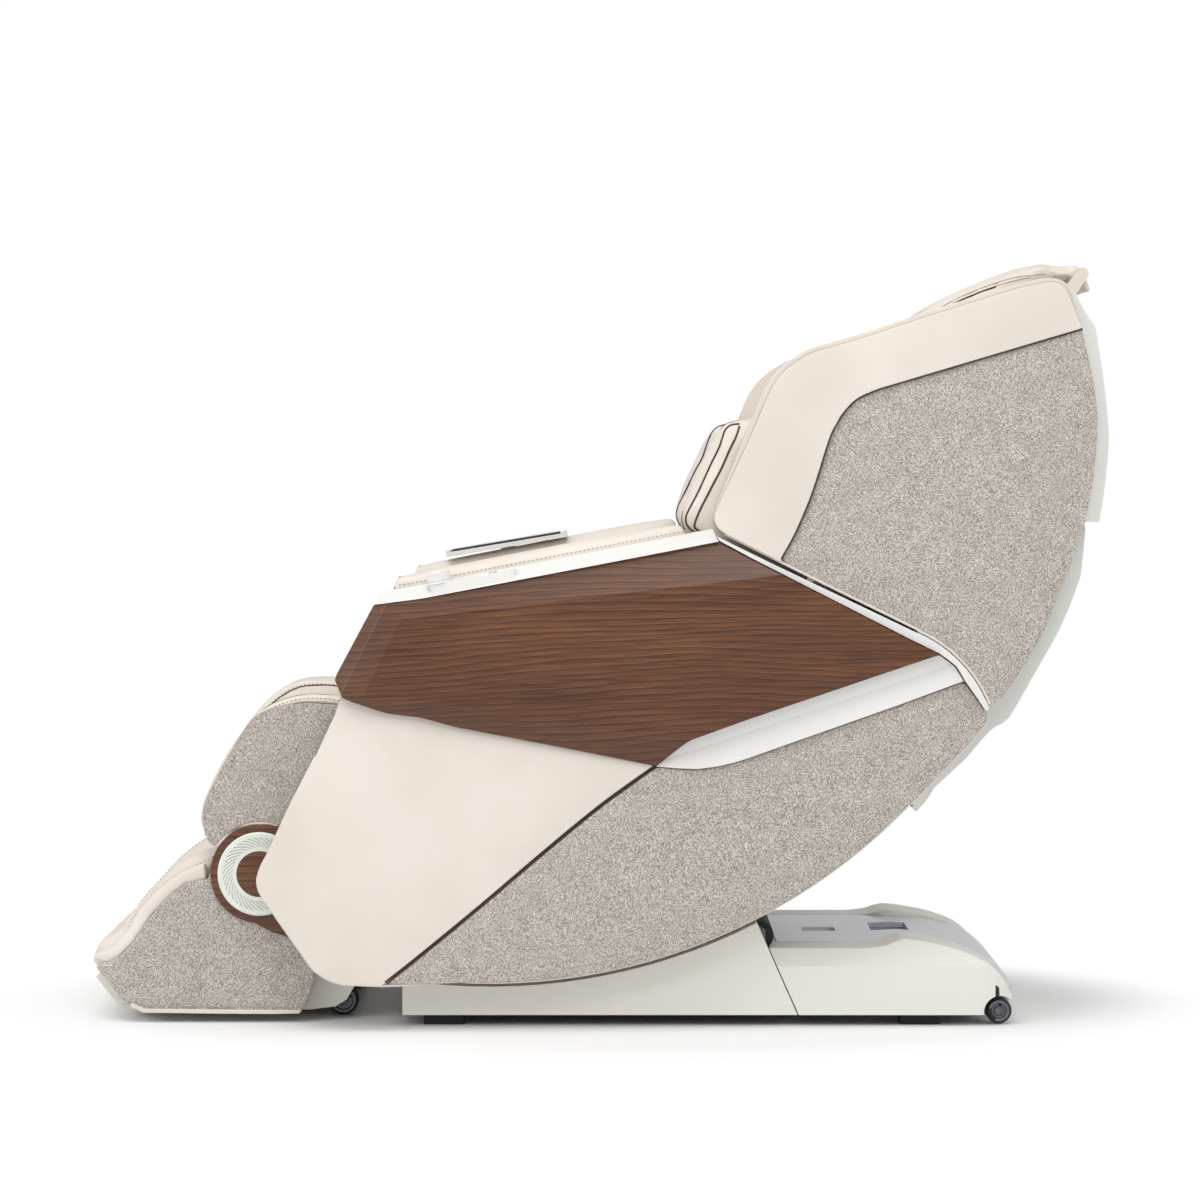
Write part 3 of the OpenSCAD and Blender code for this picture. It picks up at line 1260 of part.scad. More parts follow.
base_frame();
base_front_cover();
base_rear_cover();
base_top_panel();
base_feet();
rear_bumper();
power_panel();
power_switch();
rear_wheel_left();
rear_wheel_right();
front_cradle_roller();
rear_cradle_roller();
rocking_motor();
seat_frame();
cradle_rails();
belly_pan();
arm_cores();
arm_front_panels();
arm_side_panels();
left_wood_panel();
right_wood_panel();
side_trims();
arm_consoles();
arm_pads();
control_pod();
control_knob();
quick_key();
tablet_dock();
tablet();
seat_cushion();
seat_side_pads();
recline_actuator();
recline_rod();
leg_actuator();
leg_rod();
control_box();
back_frame();
back_shell();
lower_shell();
left_wing();
right_wing();
wing_fabrics();
back_cushion();
bolsters();
head_pillow();
massage_rails();
massage_carriage();
kneading_head();
upper_rollers();
lower_rollers();
calf_frame();
calf_sides();
calf_pads();
foot_slide();
foot_shell();
foot_sides();
foot_pad();
hinge_covers();
hinge_rings();
foot_casters();
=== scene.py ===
# %% [markdown]
# # A reclining massage chair
# The chair rests on a low base, faces -Y and is 750 mm wide. Its hard parts come from the CAD
# frame at their true size. Here the leather, cloth, wood and plastic are added: cushions are
# puffed by a cloth simulation, side panels are sewn slabs with a soft crown, and the moulded
# covers get eased edges. Everything is in metres, in the frame's own place.

# %% Load the frame
import json
import math
import time

import bmesh
import bpy
from mathutils import Matrix, Vector
from mathutils.bvhtree import BVHTree

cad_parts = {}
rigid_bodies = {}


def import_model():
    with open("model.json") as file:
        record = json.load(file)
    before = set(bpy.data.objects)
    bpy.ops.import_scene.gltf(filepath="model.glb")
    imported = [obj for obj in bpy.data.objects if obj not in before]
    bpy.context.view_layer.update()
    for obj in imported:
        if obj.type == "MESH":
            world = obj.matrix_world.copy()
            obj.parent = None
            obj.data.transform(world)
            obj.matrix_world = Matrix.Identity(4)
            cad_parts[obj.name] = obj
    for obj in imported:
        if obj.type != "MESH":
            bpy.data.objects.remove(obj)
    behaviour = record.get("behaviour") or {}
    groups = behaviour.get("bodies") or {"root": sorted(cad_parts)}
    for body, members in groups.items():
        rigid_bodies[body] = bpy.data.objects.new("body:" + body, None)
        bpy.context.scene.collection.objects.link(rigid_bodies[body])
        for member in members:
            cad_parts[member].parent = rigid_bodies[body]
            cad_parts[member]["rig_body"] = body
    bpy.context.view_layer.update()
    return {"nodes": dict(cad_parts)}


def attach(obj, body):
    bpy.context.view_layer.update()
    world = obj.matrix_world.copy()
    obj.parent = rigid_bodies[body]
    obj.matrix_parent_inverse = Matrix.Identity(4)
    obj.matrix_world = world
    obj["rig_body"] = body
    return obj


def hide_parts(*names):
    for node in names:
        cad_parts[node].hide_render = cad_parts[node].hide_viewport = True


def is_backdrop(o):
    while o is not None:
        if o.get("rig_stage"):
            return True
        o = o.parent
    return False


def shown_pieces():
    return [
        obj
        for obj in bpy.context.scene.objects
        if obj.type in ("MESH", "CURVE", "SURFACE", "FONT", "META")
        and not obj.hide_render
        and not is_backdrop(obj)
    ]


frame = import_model()
nodes = frame["nodes"]
scene = bpy.context.scene
started = time.time()

# %% [markdown]
# ## Camera
# The chair is seen square from its left side by a long lens, so that its outline is hardly
# drawn together by perspective. The camera stands at the height of the head pillow and looks
# down by two degrees, which shows a little of the armrest and of the base's top.

# %% Camera
camera_place = (6.075, 0.007, 0.860)
looks_down = math.radians(2.035)
lens_mm, sensor_mm = 114, 36

camera = bpy.data.objects.new("camera", bpy.data.cameras.new("camera"))
scene.collection.objects.link(camera)
camera.data.lens = lens_mm
camera.data.sensor_width = sensor_mm
camera.data.clip_end = 200
camera.location = camera_place
ahead = Vector((-math.cos(looks_down), 0, -math.sin(looks_down)))
camera.rotation_euler = ahead.to_track_quat("-Z", "Y").to_euler()
scene.camera = camera
scene.view_settings.view_transform = "Standard"
print("camera at", tuple(camera.location))

# %% [markdown]
# ## Helpers for shaders
# Each finish starts from Blender's own shader. Colours are given as a screen shows them, 0 to
# 255, and turned into the linear numbers that shaders take. Small helpers add a node and its
# links in one line, and the same ones build the world, the floor and the finishes.

# %% A finish and its nodes
def shade(red, green, blue):
    """A colour as a screen shows it, in linear numbers."""
    linear = [(c / 255 / 12.92) if c < 11 else ((c / 255 + 0.055) / 1.055) ** 2.4
              for c in (red, green, blue)]
    return (*linear, 1)


def shader_of(finish):
    return finish.node_tree.nodes["Principled BSDF"]


def new_finish(name, roughness, metallic=0.0, coat=0.0):
    finish = bpy.data.materials.new(name)
    finish.use_nodes = True
    shader = shader_of(finish)
    shader.inputs["Roughness"].default_value = roughness
    shader.inputs["Metallic"].default_value = metallic
    shader.inputs["Coat Weight"].default_value = coat
    return finish


def add(owner, kind, links=(), **values):
    """A new node of a finish or world: links are (source, input), values are its settings."""
    made = owner.node_tree.nodes.new("ShaderNode" + kind)
    for key, value in values.items():
        socket = key.replace("_", " ")
        if socket in made.inputs:
            made.inputs[socket].default_value = value
        else:
            setattr(made, key, value)
    for source, target in links:
        owner.node_tree.links.new(source, made.inputs[target])
    return made


def own_place(finish, stretch=(1, 1, 1), turn=(0, 0, 0)):
    """The piece's own coordinates, stretched and turned."""
    coordinates = add(finish, "TexCoord")
    return add(finish, "Mapping", [(coordinates.outputs["Object"], "Vector")],
               Scale=stretch, Rotation=turn).outputs["Vector"]


white = shade(255, 255, 255)

# %% [markdown]
# ## Light
# One wide soft box overhead, one in front of the chair and one behind it, and a pale world.
# The overhead box is the strongest, so that facets that face up read lighter than those that
# face down. A small fourth lamp stands where the upper facet of the wood mirrors it to the
# camera. The camera sees a white world, whatever its real strength.

# %% Lamps
def soft_box(name, place, target, size, watts):
    lamp = bpy.data.objects.new(name, bpy.data.lights.new(name, "AREA"))
    scene.collection.objects.link(lamp)
    lamp.data.shape = "DISK"
    lamp.data.size = size
    lamp.data.energy = watts
    lamp.location = place
    lamp.rotation_euler = (Vector(target) - Vector(place)).to_track_quat("-Z", "Y").to_euler()


soft_box("top_light", (1.6, -0.9, 3.6), target=(0, 0, 0.5), size=2.6, watts=56)
soft_box("front_light", (2.6, -3.2, 1.9), target=(0, 0, 0.5), size=2.2, watts=33)
soft_box("rear_light", (1.8, 3.4, 1.9), target=(0, 0.2, 0.6), size=1.8, watts=22)
soft_box("facet_light", (3.1, 0.45, 2.27), target=(0.37, 0.1, 0.69), size=0.9, watts=15)

# %% World
world = bpy.data.worlds.new("studio")
scene.world = world
world.use_nodes = True
world.node_tree.nodes.clear()
ray = add(world, "LightPath").outputs
seen_or_through = add(world, "Math", [(ray["Is Camera Ray"], 0), (ray["Is Transmission Ray"], 1)],
                      operation="MAXIMUM")
glow = add(world, "Background", Color=white, Strength=0.62)
backdrop = add(world, "Background", Color=white, Strength=1.0)
either = add(world, "MixShader", [(seen_or_through.outputs[0], 0), (glow.outputs[0], 1),
                                  (backdrop.outputs[0], 2)])
add(world, "OutputWorld", [(either.outputs[0], "Surface")])
print("four soft boxes and a pale world")

# %% [markdown]
# ## Floor
# A white sheet under the chair takes its shadow. Away from the chair the sheet fades into
# plain white for the camera, so that no horizon shows.

# %% Floor
floor_reach = 30
fade_from, fade_to = 0.72, 1.0

sheet = bmesh.new()
bmesh.ops.create_grid(sheet, x_segments=2, y_segments=2, size=floor_reach)
floor = bpy.data.objects.new("floor", bpy.data.meshes.new("floor"))
sheet.to_mesh(floor.data)
sheet.free()
scene.collection.objects.link(floor)

paper = new_finish("white_paper", 0.9)
shader = shader_of(paper)
shader.inputs["Base Color"].default_value = (0.88, 0.88, 0.88, 1)
shader.inputs["Specular IOR Level"].default_value = 0.1
off_middle = add(paper, "VectorMath", [(own_place(paper, (1.5, 1.0, 1.0)), 0)], operation="LENGTH")
fade = add(paper, "MapRange", [(off_middle.outputs["Value"], "Value")],
           interpolation_type="SMOOTHSTEP", From_Min=fade_from, From_Max=fade_to)
ray = add(paper, "LightPath").outputs
only_seen = add(paper, "Math", [(fade.outputs["Result"], 0), (ray["Is Camera Ray"], 1)],
                operation="MULTIPLY")
plain = add(paper, "Emission", Color=white)
blend = add(paper, "MixShader", [(only_seen.outputs[0], 0), (shader.outputs[0], 1),
                                 (plain.outputs[0], 2)])
surface = paper.node_tree.nodes["Material Output"].inputs["Surface"]
paper.node_tree.links.new(blend.outputs[0], surface)
floor.data.materials.append(paper)
floor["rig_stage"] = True
print("floor", floor.dimensions[:2])

# %% [markdown]
# ## Finishes
# A finish is built from a few steps: tint a texture by a ramp, mix two textures, turn one into
# a range of gloss, and raise a fine relief from it.

# %% Steps of a finish
def tint(finish, factor, stops):
    """A colour ramp: stops are (place, colour)."""
    ramp = add(finish, "ValToRGB", [(factor, "Fac")])
    points = ramp.color_ramp.elements
    while len(points) < len(stops):
        points.new(0.5)
    for point, (where, colour) in zip(points, stops):
        point.position = where
        point.color = colour
    return ramp.outputs["Color"]


def mixed(finish, factor, first, second, way="MIX"):
    """Two colours mixed by a number or by a texture."""
    blend = add(finish, "Mix", [(first, 6), (second, 7)], data_type="RGBA", blend_type=way)
    if isinstance(factor, float):
        blend.inputs[0].default_value = factor
    else:
        finish.node_tree.links.new(factor, blend.inputs[0])
    return blend.outputs[2]


def ranged(finish, value, low, high):
    """A texture's 0 to 1 turned into a range."""
    return add(finish, "MapRange", [(value, "Value")], To_Min=low, To_Max=high).outputs["Result"]


def into_shader(finish, colour, roughness, height, strength, distance):
    """Links colour and gloss, and raises a relief of this strength and depth in metres."""
    links = finish.node_tree.links
    shader = shader_of(finish)
    links.new(colour, shader.inputs["Base Color"])
    if roughness is not None:
        links.new(roughness, shader.inputs["Roughness"])
    bump = add(finish, "Bump", [(height, "Height")], Strength=strength, Distance=distance)
    links.new(bump.outputs["Normal"], shader.inputs["Normal"])

# %% [markdown]
# ### Leather
# Soft split leather: a calm cream with a faint cloudiness, pebbled by cells about a
# millimetre across, and a satin sheen that is a little uneven.

# %% Leather
def leather(name, light, dark, roughness):
    finish = new_finish(name, roughness)
    place = own_place(finish)
    cloud = add(finish, "TexNoise", [(place, "Vector")], Scale=5.0, Detail=3.0)
    colour = tint(finish, cloud.outputs["Fac"], [(0.35, dark), (0.65, light)])
    cells = add(finish, "TexVoronoi", [(place, "Vector")], Scale=750.0, feature="SMOOTH_F1")
    pores = add(finish, "TexNoise", [(place, "Vector")], Scale=260.0, Detail=4.0)
    height = mixed(finish, 0.45, cells.outputs["Distance"], pores.outputs["Fac"])
    gloss = ranged(finish, pores.outputs["Fac"], roughness - 0.06, roughness + 0.08)
    into_shader(finish, colour, gloss, height, strength=0.22, distance=0.0005)
    return finish


cream_leather = leather("cream_leather", shade(222, 214, 204), shade(214, 205, 194), 0.46)
# Darker leather for seam cords and welts: its tone is painted shade along the seams.
seam_leather_painted_shade = leather("seam_leather_painted_shade", shade(176, 160, 144), shade(160, 144, 128), 0.5)
# Dark leather for the real piping cords; laid in the pillow's gap and calf folds as painted shade.
dark_piping_and_painted_shade = leather("dark_piping_and_painted_shade", shade(72, 50, 38), shade(50, 34, 26), 0.4)
roller_skin = leather("roller_skin", shade(214, 205, 192), shade(200, 190, 178), 0.55)
print("leather finishes:", cream_leather.name, dark_piping_and_painted_shade.name, roller_skin.name)

# %% [markdown]
# ### Heather cloth
# A tweed of mixed yarn: cream, stone grey and brown flecks lie along the warp and the weft.
# Two noises, one drawn out upwards and one drawn out lengthways, give the two sets of
# threads. A fine chequer of waves chooses which of them is on top and lifts it.

# %% Heather cloth
def heather_cloth(name, pitch):
    """Cloth whose threads lie about pitch metres apart."""
    finish = new_finish(name, 0.92)
    shader = shader_of(finish)
    shader.inputs["Sheen Weight"].default_value = 0.25
    shader.inputs["Sheen Roughness"].default_value = 0.5
    shader.inputs["Specular IOR Level"].default_value = 0.15
    place = own_place(finish)
    yarn = [(0.37, shade(124, 115, 107)), (0.46, shade(162, 154, 146)),
            (0.54, shade(190, 184, 176)), (0.64, shade(224, 219, 212))]
    warp = add(finish, "TexNoise", [(own_place(finish, (1, 1, 0.42)), "Vector")],
               Scale=1 / pitch, Detail=2.0)
    weft = add(finish, "TexNoise", [(own_place(finish, (1, 0.42, 1)), "Vector")],
               Scale=1.1 / pitch, Detail=2.0)
    across = add(finish, "TexWave", [(place, "Vector")], Scale=0.16 / pitch, bands_direction="Y")
    up = add(finish, "TexWave", [(place, "Vector")], Scale=0.16 / pitch, bands_direction="Z")
    over = add(finish, "Math", [(across.outputs["Fac"], 0), (up.outputs["Fac"], 1)],
               operation="GREATER_THAN")
    woven = mixed(finish, over.outputs[0], tint(finish, warp.outputs["Fac"], yarn),
                  tint(finish, weft.outputs["Fac"], yarn))
    drift = add(finish, "TexNoise", [(place, "Vector")], Scale=40.0, Detail=2.0)
    patch = tint(finish, drift.outputs["Fac"], [(0.3, shade(242, 240, 238)), (0.7, white)])
    colour = mixed(finish, 1.0, woven, patch, "MULTIPLY")
    height = mixed(finish, 0.5, across.outputs["Fac"], up.outputs["Fac"], "DIFFERENCE")
    into_shader(finish, colour, None, height, strength=0.5, distance=0.0006)
    return finish


heather_fabric = heather_cloth("heather_fabric", pitch=0.0013)
print("cloth finish:", heather_fabric.name)

# %% [markdown]
# ### Walnut
# Veneer cut so that the grain runs along the arm in slow waves, with dark late-wood lines that
# close into eyes here and there. The lines are contours of one height: the distance up the
# panel, pushed about by a stretched noise. Fine fibres and pores lie on top, under satin lacquer.

# %% Walnut
def scaled_up(finish, value, factor):
    made = add(finish, "Math", [(value, 0)], operation="MULTIPLY")
    made.inputs[1].default_value = factor
    return made.outputs[0]


def walnut(name, lines_per_metre, push, tilt):
    """push is how far, in metres, the noise moves the lines up and down."""
    finish = new_finish(name, 0.38, coat=0.15)
    shader_of(finish).inputs["Coat Roughness"].default_value = 0.3
    place = own_place(finish, (1, 1, 1), (tilt, 0, 0))

    def drawn_out(stretch, scale, **more):
        wide = add(finish, "Mapping", [(place, "Vector")], Scale=stretch)
        return add(finish, "TexNoise", [(wide.outputs["Vector"], "Vector")], Scale=scale,
                   **more).outputs["Fac"]

    swell = drawn_out((1, 1.9, 9), 1.0, Detail=3.0, Roughness=0.36, Distortion=0.1)
    height = add(finish, "SeparateXYZ", [(place, "Vector")]).outputs["Z"]
    pushed = add(finish, "Math", [(height, 0), (scaled_up(finish, swell, push), 1)], operation="ADD")
    count = scaled_up(finish, pushed.outputs[0], lines_per_metre)
    ring = add(finish, "Math", [(count, 0)], operation="FRACT")
    late = tint(finish, ring.outputs[0],
                [(0.0, shade(122, 75, 40)), (0.6, shade(108, 65, 33)), (0.88, shade(92, 54, 27)),
                 (0.98, shade(66, 39, 21))])
    tone = drawn_out((1, 1.4, 9), 1.6, Detail=2.0)
    toned = mixed(finish, 1.0, late,
                  tint(finish, tone, [(0.3, shade(206, 196, 186)), (0.7, white)]), "MULTIPLY")
    fibre = drawn_out((60, 14, 620), 1.0, Detail=3.0)
    fibred = mixed(finish, 1.0, toned,
                   tint(finish, fibre, [(0.32, shade(188, 174, 162)), (0.6, white)]), "MULTIPLY")
    gloss = ranged(finish, fibre, 0.3, 0.46)
    into_shader(finish, fibred, gloss, fibre, strength=0.12, distance=0.0004)
    return finish


walnut_veneer = walnut("walnut_veneer", 105, 0.08, math.radians(-2))
walnut_ring = walnut("walnut_ring", 90, 0.05, 0)
print("wood finishes:", walnut_veneer.name, walnut_ring.name)

# %% [markdown]
# ### Plastics, rubber, metal and glass
# Moulded plastic is never quite even: a fine spark texture breaks up its gloss, and a faint
# drift its colour. Brushed and plated steel carry drawn-out scratches.

# %% Moulded and brushed finishes
def from_darker(finish, factor, colour, share):
    """A ramp from a darker share of a colour to the colour itself."""
    darker = tuple(c * share for c in colour[:3]) + (1,)
    return tint(finish, factor, [(0.3, darker), (0.7, colour)])


def moulded(name, colour, roughness, grain=900.0, relief=0.08, metallic=0.0, coat=0.0):
    finish = new_finish(name, roughness, metallic, coat)
    place = own_place(finish)
    drift = add(finish, "TexNoise", [(place, "Vector")], Scale=3.0, Detail=2.0)
    spark = add(finish, "TexNoise", [(place, "Vector")], Scale=grain, Detail=2.0).outputs["Fac"]
    into_shader(finish, from_darker(finish, drift.outputs["Fac"], colour, 0.95),
                ranged(finish, spark, roughness - 0.05, roughness + 0.07), spark,
                strength=relief, distance=0.0003)
    return finish


def brushed(name, colour, roughness, along):
    finish = new_finish(name, roughness, metallic=1.0)
    place = own_place(finish, along)
    scratch = add(finish, "TexNoise", [(place, "Vector")], Scale=30.0, Detail=4.0).outputs["Fac"]
    into_shader(finish, from_darker(finish, scratch, colour, 0.8),
                ranged(finish, scratch, roughness - 0.08, roughness + 0.12), scratch,
                strength=0.1, distance=0.0003)
    return finish

# %% The hard finishes and the thread
white_plastic = moulded("white_plastic", shade(226, 225, 221), 0.34, coat=0.15)
shell_plastic = moulded("shell_plastic", shade(228, 226, 219), 0.42)
back_plastic = moulded("back_plastic", shade(222, 224, 219), 0.4)
ring_plastic = moulded("ring_plastic", shade(224, 228, 219), 0.38, coat=0.1)
silver_paint = moulded("silver_paint", shade(212, 214, 217), 0.3, 1600.0, 0.05, 0.35, 0.3)
black_plastic = moulded("black_plastic", shade(30, 30, 32), 0.42, 700.0, 0.15)
grey_plastic = moulded("grey_plastic", shade(146, 150, 154), 0.4)
black_rubber = moulded("black_rubber", shade(24, 24, 26), 0.66, 420.0, 0.3)
screen_glass = moulded("screen_glass", shade(18, 20, 24), 0.1, 60.0, 0.01, coat=0.8)
thread = moulded("thread", shade(166, 148, 128), 0.7, 1200.0, 0.4)
frame_steel = brushed("frame_steel", shade(120, 122, 126), 0.45, (1, 1, 12))
bright_steel = brushed("bright_steel", shade(206, 208, 212), 0.22, (8, 1, 1))
print("hard finishes ready")

# %% [markdown]
# ## Dressing the frame's own solids
# Every solid of the frame takes a finish. Parts inside the chair and small hardware keep their
# CAD shape with it, and the others lend theirs to the pieces that are made further down.

# %% Finishes on the CAD nodes
nodes_with = {
    frame_steel: "base_frame seat_frame back_frame kneading_head",
    bright_steel: "cradle_rails quick_key recline_rod leg_rod massage_rails foot_slide",
    silver_paint: "base_top_panel",
    black_rubber: "base_feet rear_bumper rear_wheel_left rear_wheel_right front_cradle_roller "
                  "rear_cradle_roller foot_casters",
    black_plastic: "power_switch rocking_motor recline_actuator leg_actuator control_box "
                   "massage_carriage",
    grey_plastic: "power_panel",
    shell_plastic: "base_front_cover base_rear_cover belly_pan calf_frame foot_shell",
    back_plastic: "back_shell lower_shell",
    white_plastic: "side_trims arm_consoles control_pod control_knob tablet_dock tablet",
    ring_plastic: "hinge_rings",
    walnut_veneer: "left_wood_panel right_wood_panel",
    walnut_ring: "hinge_covers",
    heather_fabric: "arm_side_panels wing_fabrics calf_sides foot_sides",
    roller_skin: "upper_rollers lower_rollers",
    cream_leather: "arm_cores arm_front_panels arm_pads seat_cushion seat_side_pads left_wing "
                   "right_wing back_cushion bolsters head_pillow calf_pads foot_pad",
}
finish_of = {node: finish for finish, names in nodes_with.items() for node in names.split()}
for node, finish in finish_of.items():
    mesh = nodes[node].data
    mesh.materials.clear()
    mesh.materials.append(finish)
print(len(finish_of), "nodes dressed of", len(nodes))

# %% [markdown]
# ## Shapes shared by many pieces
# Outlines are [y, z] points in millimetres, seen from the chair's left. A corner is rounded by
# cutting it at a set reach and running a small curve through the cut.

# %% Points and outlines
MM = 0.001


def curve_through(points, steps=6):
    """A smooth line through points."""
    pts = [Vector(p) for p in points]
    line = []
    for i in range(len(pts) - 1):
        a, b = pts[max(i - 1, 0)], pts[i]
        c, d = pts[i + 1], pts[min(i + 2, len(pts) - 1)]
        for k in range(steps):
            t = k / steps
            line.append(0.5 * (2 * b + (c - a) * t + (2 * a - 5 * b + 4 * c - d) * t * t
                               + (3 * b - a - 3 * c + d) * t ** 3))
    return line + [pts[-1]]


def rounded(outline, reach, steps=4, closed=True):
    """An outline whose corners are eased over the length reach."""
    share, too_close = 0.48, 0.05
    pts = [Vector(p) for p in outline]
    line = []
    for i, p in enumerate(pts):
        if not closed and i in (0, len(pts) - 1):
            line.append(p)
            continue
        a, b = pts[i - 1], pts[(i + 1) % len(pts)]
        near = p + (a - p) * min(share, reach / max((a - p).length, 1e-6))
        away = p + (b - p) * min(share, reach / max((b - p).length, 1e-6))
        for k in range(steps + 1):
            t = k / steps
            line.append(near * (1 - t) ** 2 + p * 2 * t * (1 - t) + away * t * t)
    kept = [line[0]]
    for q in line[1:]:
        if (q - kept[-1]).length > too_close:
            kept.append(q)
    if closed and (kept[0] - kept[-1]).length < too_close:
        kept.pop()
    return kept


def arc(centre, radius, start, end, steps=12):
    """Points on a circle, by the angle in degrees from +Y."""
    turns = [math.radians(start + (end - start) * i / steps) for i in range(steps + 1)]
    return [Vector((centre[0] + radius * math.cos(t), centre[1] + radius * math.sin(t)))
            for t in turns]


def moved_left(line, distance):
    """An open line moved to its left."""
    pts = [Vector(p) for p in line]
    made = []
    for i, p in enumerate(pts):
        way = (pts[min(i + 1, len(pts) - 1)] - pts[max(i - 1, 0)]).normalized()
        made.append(p + Vector((-way.y, way.x)) * distance)
    return made


def edge_distance(p, outline):
    """How far a point lies from the nearest edge of a closed outline."""
    best = 1e9
    px, py = p
    for (ax, ay), (bx, by) in zip(outline, outline[1:] + outline[:1]):
        dx, dy = bx - ax, by - ay
        t = ((px - ax) * dx + (py - ay) * dy) / max(dx * dx + dy * dy, 1e-9)
        t = min(1.0, max(0.0, t))
        best = min(best, (px - ax - t * dx) ** 2 + (py - ay - t * dy) ** 2)
    return math.sqrt(best)

# %% [markdown]
# Objects are made from a bmesh, shaded smooth up to a crease angle, given a finish and hung on
# a body of the frame. A piece for both sides is mirrored in its own mesh. The frame knows
# fewer finishes than there are here, so several of them share the name of their base material.


def as_object(name, shape):
    piece = bpy.data.objects.new(name, bpy.data.meshes.new(name))
    shape.to_mesh(piece.data)
    shape.free()
    scene.collection.objects.link(piece)
    return piece


def shaded(piece, finishes, crease):
    """Smooth shading, with a sharp edge wherever the surface turns by more than the crease."""
    for finish in finishes:
        piece.data.materials.append(finish)
    piece.data.shade_smooth()
    piece.data.set_sharp_from_angle(angle=math.radians(crease))


def hang(piece, body, stands_for=()):
    """The piece rides on a body, in place of the CAD nodes that it stands for."""
    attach(piece, body)
    if stands_for:
        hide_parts(*stands_for)


def turned_over(shape, verts, faces):
    """Mirrors a part of a bmesh to the chair's other side."""
    bmesh.ops.scale(shape, vec=(-1, 1, 1), verts=verts)
    bmesh.ops.reverse_faces(shape, faces=faces)


def finished(name, shape, finish, body, stands_for=(), crease=35, both_sides=True):
    if both_sides:
        twin = bmesh.ops.duplicate(shape, geom=shape.verts[:] + shape.edges[:] + shape.faces[:])
        turned_over(shape, [g for g in twin["geom"] if isinstance(g, bmesh.types.BMVert)],
                    [g for g in twin["geom"] if isinstance(g, bmesh.types.BMFace)])
    piece = as_object(name, shape)
    shaded(piece, [finish], crease)
    hang(piece, body, stands_for)


def settle(piece):
    """Turns a piece's modifiers into its mesh."""
    made = piece.evaluated_get(bpy.context.evaluated_depsgraph_get())
    mesh = bpy.data.meshes.new_from_object(made)
    old = piece.data
    piece.modifiers.clear()
    piece.data = mesh
    mesh.name = piece.name
    if old.users == 0:
        bpy.data.meshes.remove(old)

# %% [markdown]
# ### Sewn side panels
# A side panel is foam under cloth or leather: a slab with a rolled rim and a low crown. The
# outline is filled and extruded, its rim bevelled, and cuts along a grid give it enough points
# for the crown to rise smoothly away from the seam.

# %% The side panel helper
def grid_cuts(shape, step):
    """Cuts a bmesh along Y and Z, at most step millimetres apart."""
    low = [min(v.co[k] for v in shape.verts) for k in range(3)]
    high = [max(v.co[k] for v in shape.verts) for k in range(3)]
    for axis in (1, 2):
        cuts = int((high[axis] - low[axis]) / (step * MM))
        for i in range(1, cuts + 1):
            where, along = Vector((0, 0, 0)), Vector((0, 0, 0))
            where[axis] = low[axis] + (high[axis] - low[axis]) * i / (cuts + 1)
            along[axis] = 1
            geom = shape.verts[:] + shape.edges[:] + shape.faces[:]
            bmesh.ops.bisect_plane(shape, geom=geom, plane_co=where, plane_no=along, dist=1e-6)


def side_panel(name, outline, inner, outer, rim, crown, finish, body, stands_for=(), reach=6,
               both_sides=True, step=14, flip=False):
    """A slab from x = inner to x = outer whose face domes by crown, over a fall of 26 mm."""
    fall, slack = 26, 0.2
    line = rounded(outline, reach)
    shape = bmesh.new()
    cap = shape.faces.new([shape.verts.new(Vector((inner, *p)) * MM) for p in line])
    grown = bmesh.ops.extrude_face_region(shape, geom=[cap])
    top = {g for g in grown["geom"] if isinstance(g, bmesh.types.BMVert)}
    bmesh.ops.translate(shape, vec=Vector((outer - inner, 0, 0)) * MM, verts=list(top))
    rim_edges = [e for e in shape.edges if e.verts[0] in top and e.verts[1] in top]
    bmesh.ops.bevel(shape, geom=rim_edges, offset=rim * MM, offset_type="OFFSET", segments=4,
                    profile=0.5, affect="EDGES", material=-1, clamp_overlap=True)
    grid_cuts(shape, step)
    bmesh.ops.recalc_face_normals(shape, faces=shape.faces[:])
    if crown:
        flat = [(p.x, p.y) for p in line]
        for v in shape.verts:
            if v.co.x > (outer - rim - slack) * MM:
                d = edge_distance((v.co.y / MM, v.co.z / MM), flat)
                v.co.x += crown * MM * (1 - math.exp(-max(0, d - rim * 0.5) / fall))
    if flip:
        turned_over(shape, shape.verts[:], shape.faces[:])
    finished(name, shape, finish, body, stands_for, 50, both_sides)

# %% [markdown]
# ### Piping and stitches
# Piping is a round cord in a strip of leather, sewn into a seam. A stitch is a short bead of
# thread, so a row of them is one mesh with twenty faces to each bead. Both are laid along
# [x, y, z] points in millimetres, on both sides of the chair.

# %% Piping
def laid_along(way):
    """The turn that lays an upright shape along a way."""
    return way.to_track_quat("Z", "Y").to_matrix().to_4x4()


# Some cords are painted shade: dark cords laid in the pillow's gap and in the calf's folds.
def piping(name, points, radius, finish, body, sides=8):
    line = [Vector(p) * MM for p in points]
    shape = bmesh.new()
    rings = []
    for before, p, after in zip(line[:1] + line, line, line[1:] + line[-1:]):
        place = Matrix.Translation(p) @ laid_along((after - before).normalized())
        made = bmesh.ops.create_circle(shape, cap_ends=False, segments=sides, radius=radius * MM,
                                       matrix=place)
        rings.append(made["verts"])
    for a, b in zip(rings, rings[1:]):
        start = min(range(sides), key=lambda k: (b[k].co - a[0].co).length)
        for k in range(sides):
            shape.faces.new((a[k], a[(k + 1) % sides], b[(start + k + 1) % sides],
                             b[(start + k) % sides]))
    shape.faces.new(rings[0])
    shape.faces.new(rings[-1])
    bmesh.ops.recalc_face_normals(shape, faces=shape.faces[:])
    finished(name, shape, finish, body, (), 60)

# %% Stitches
stitch_length, stitch_gap, stitch_radius = 4.4, 6.6, 0.8


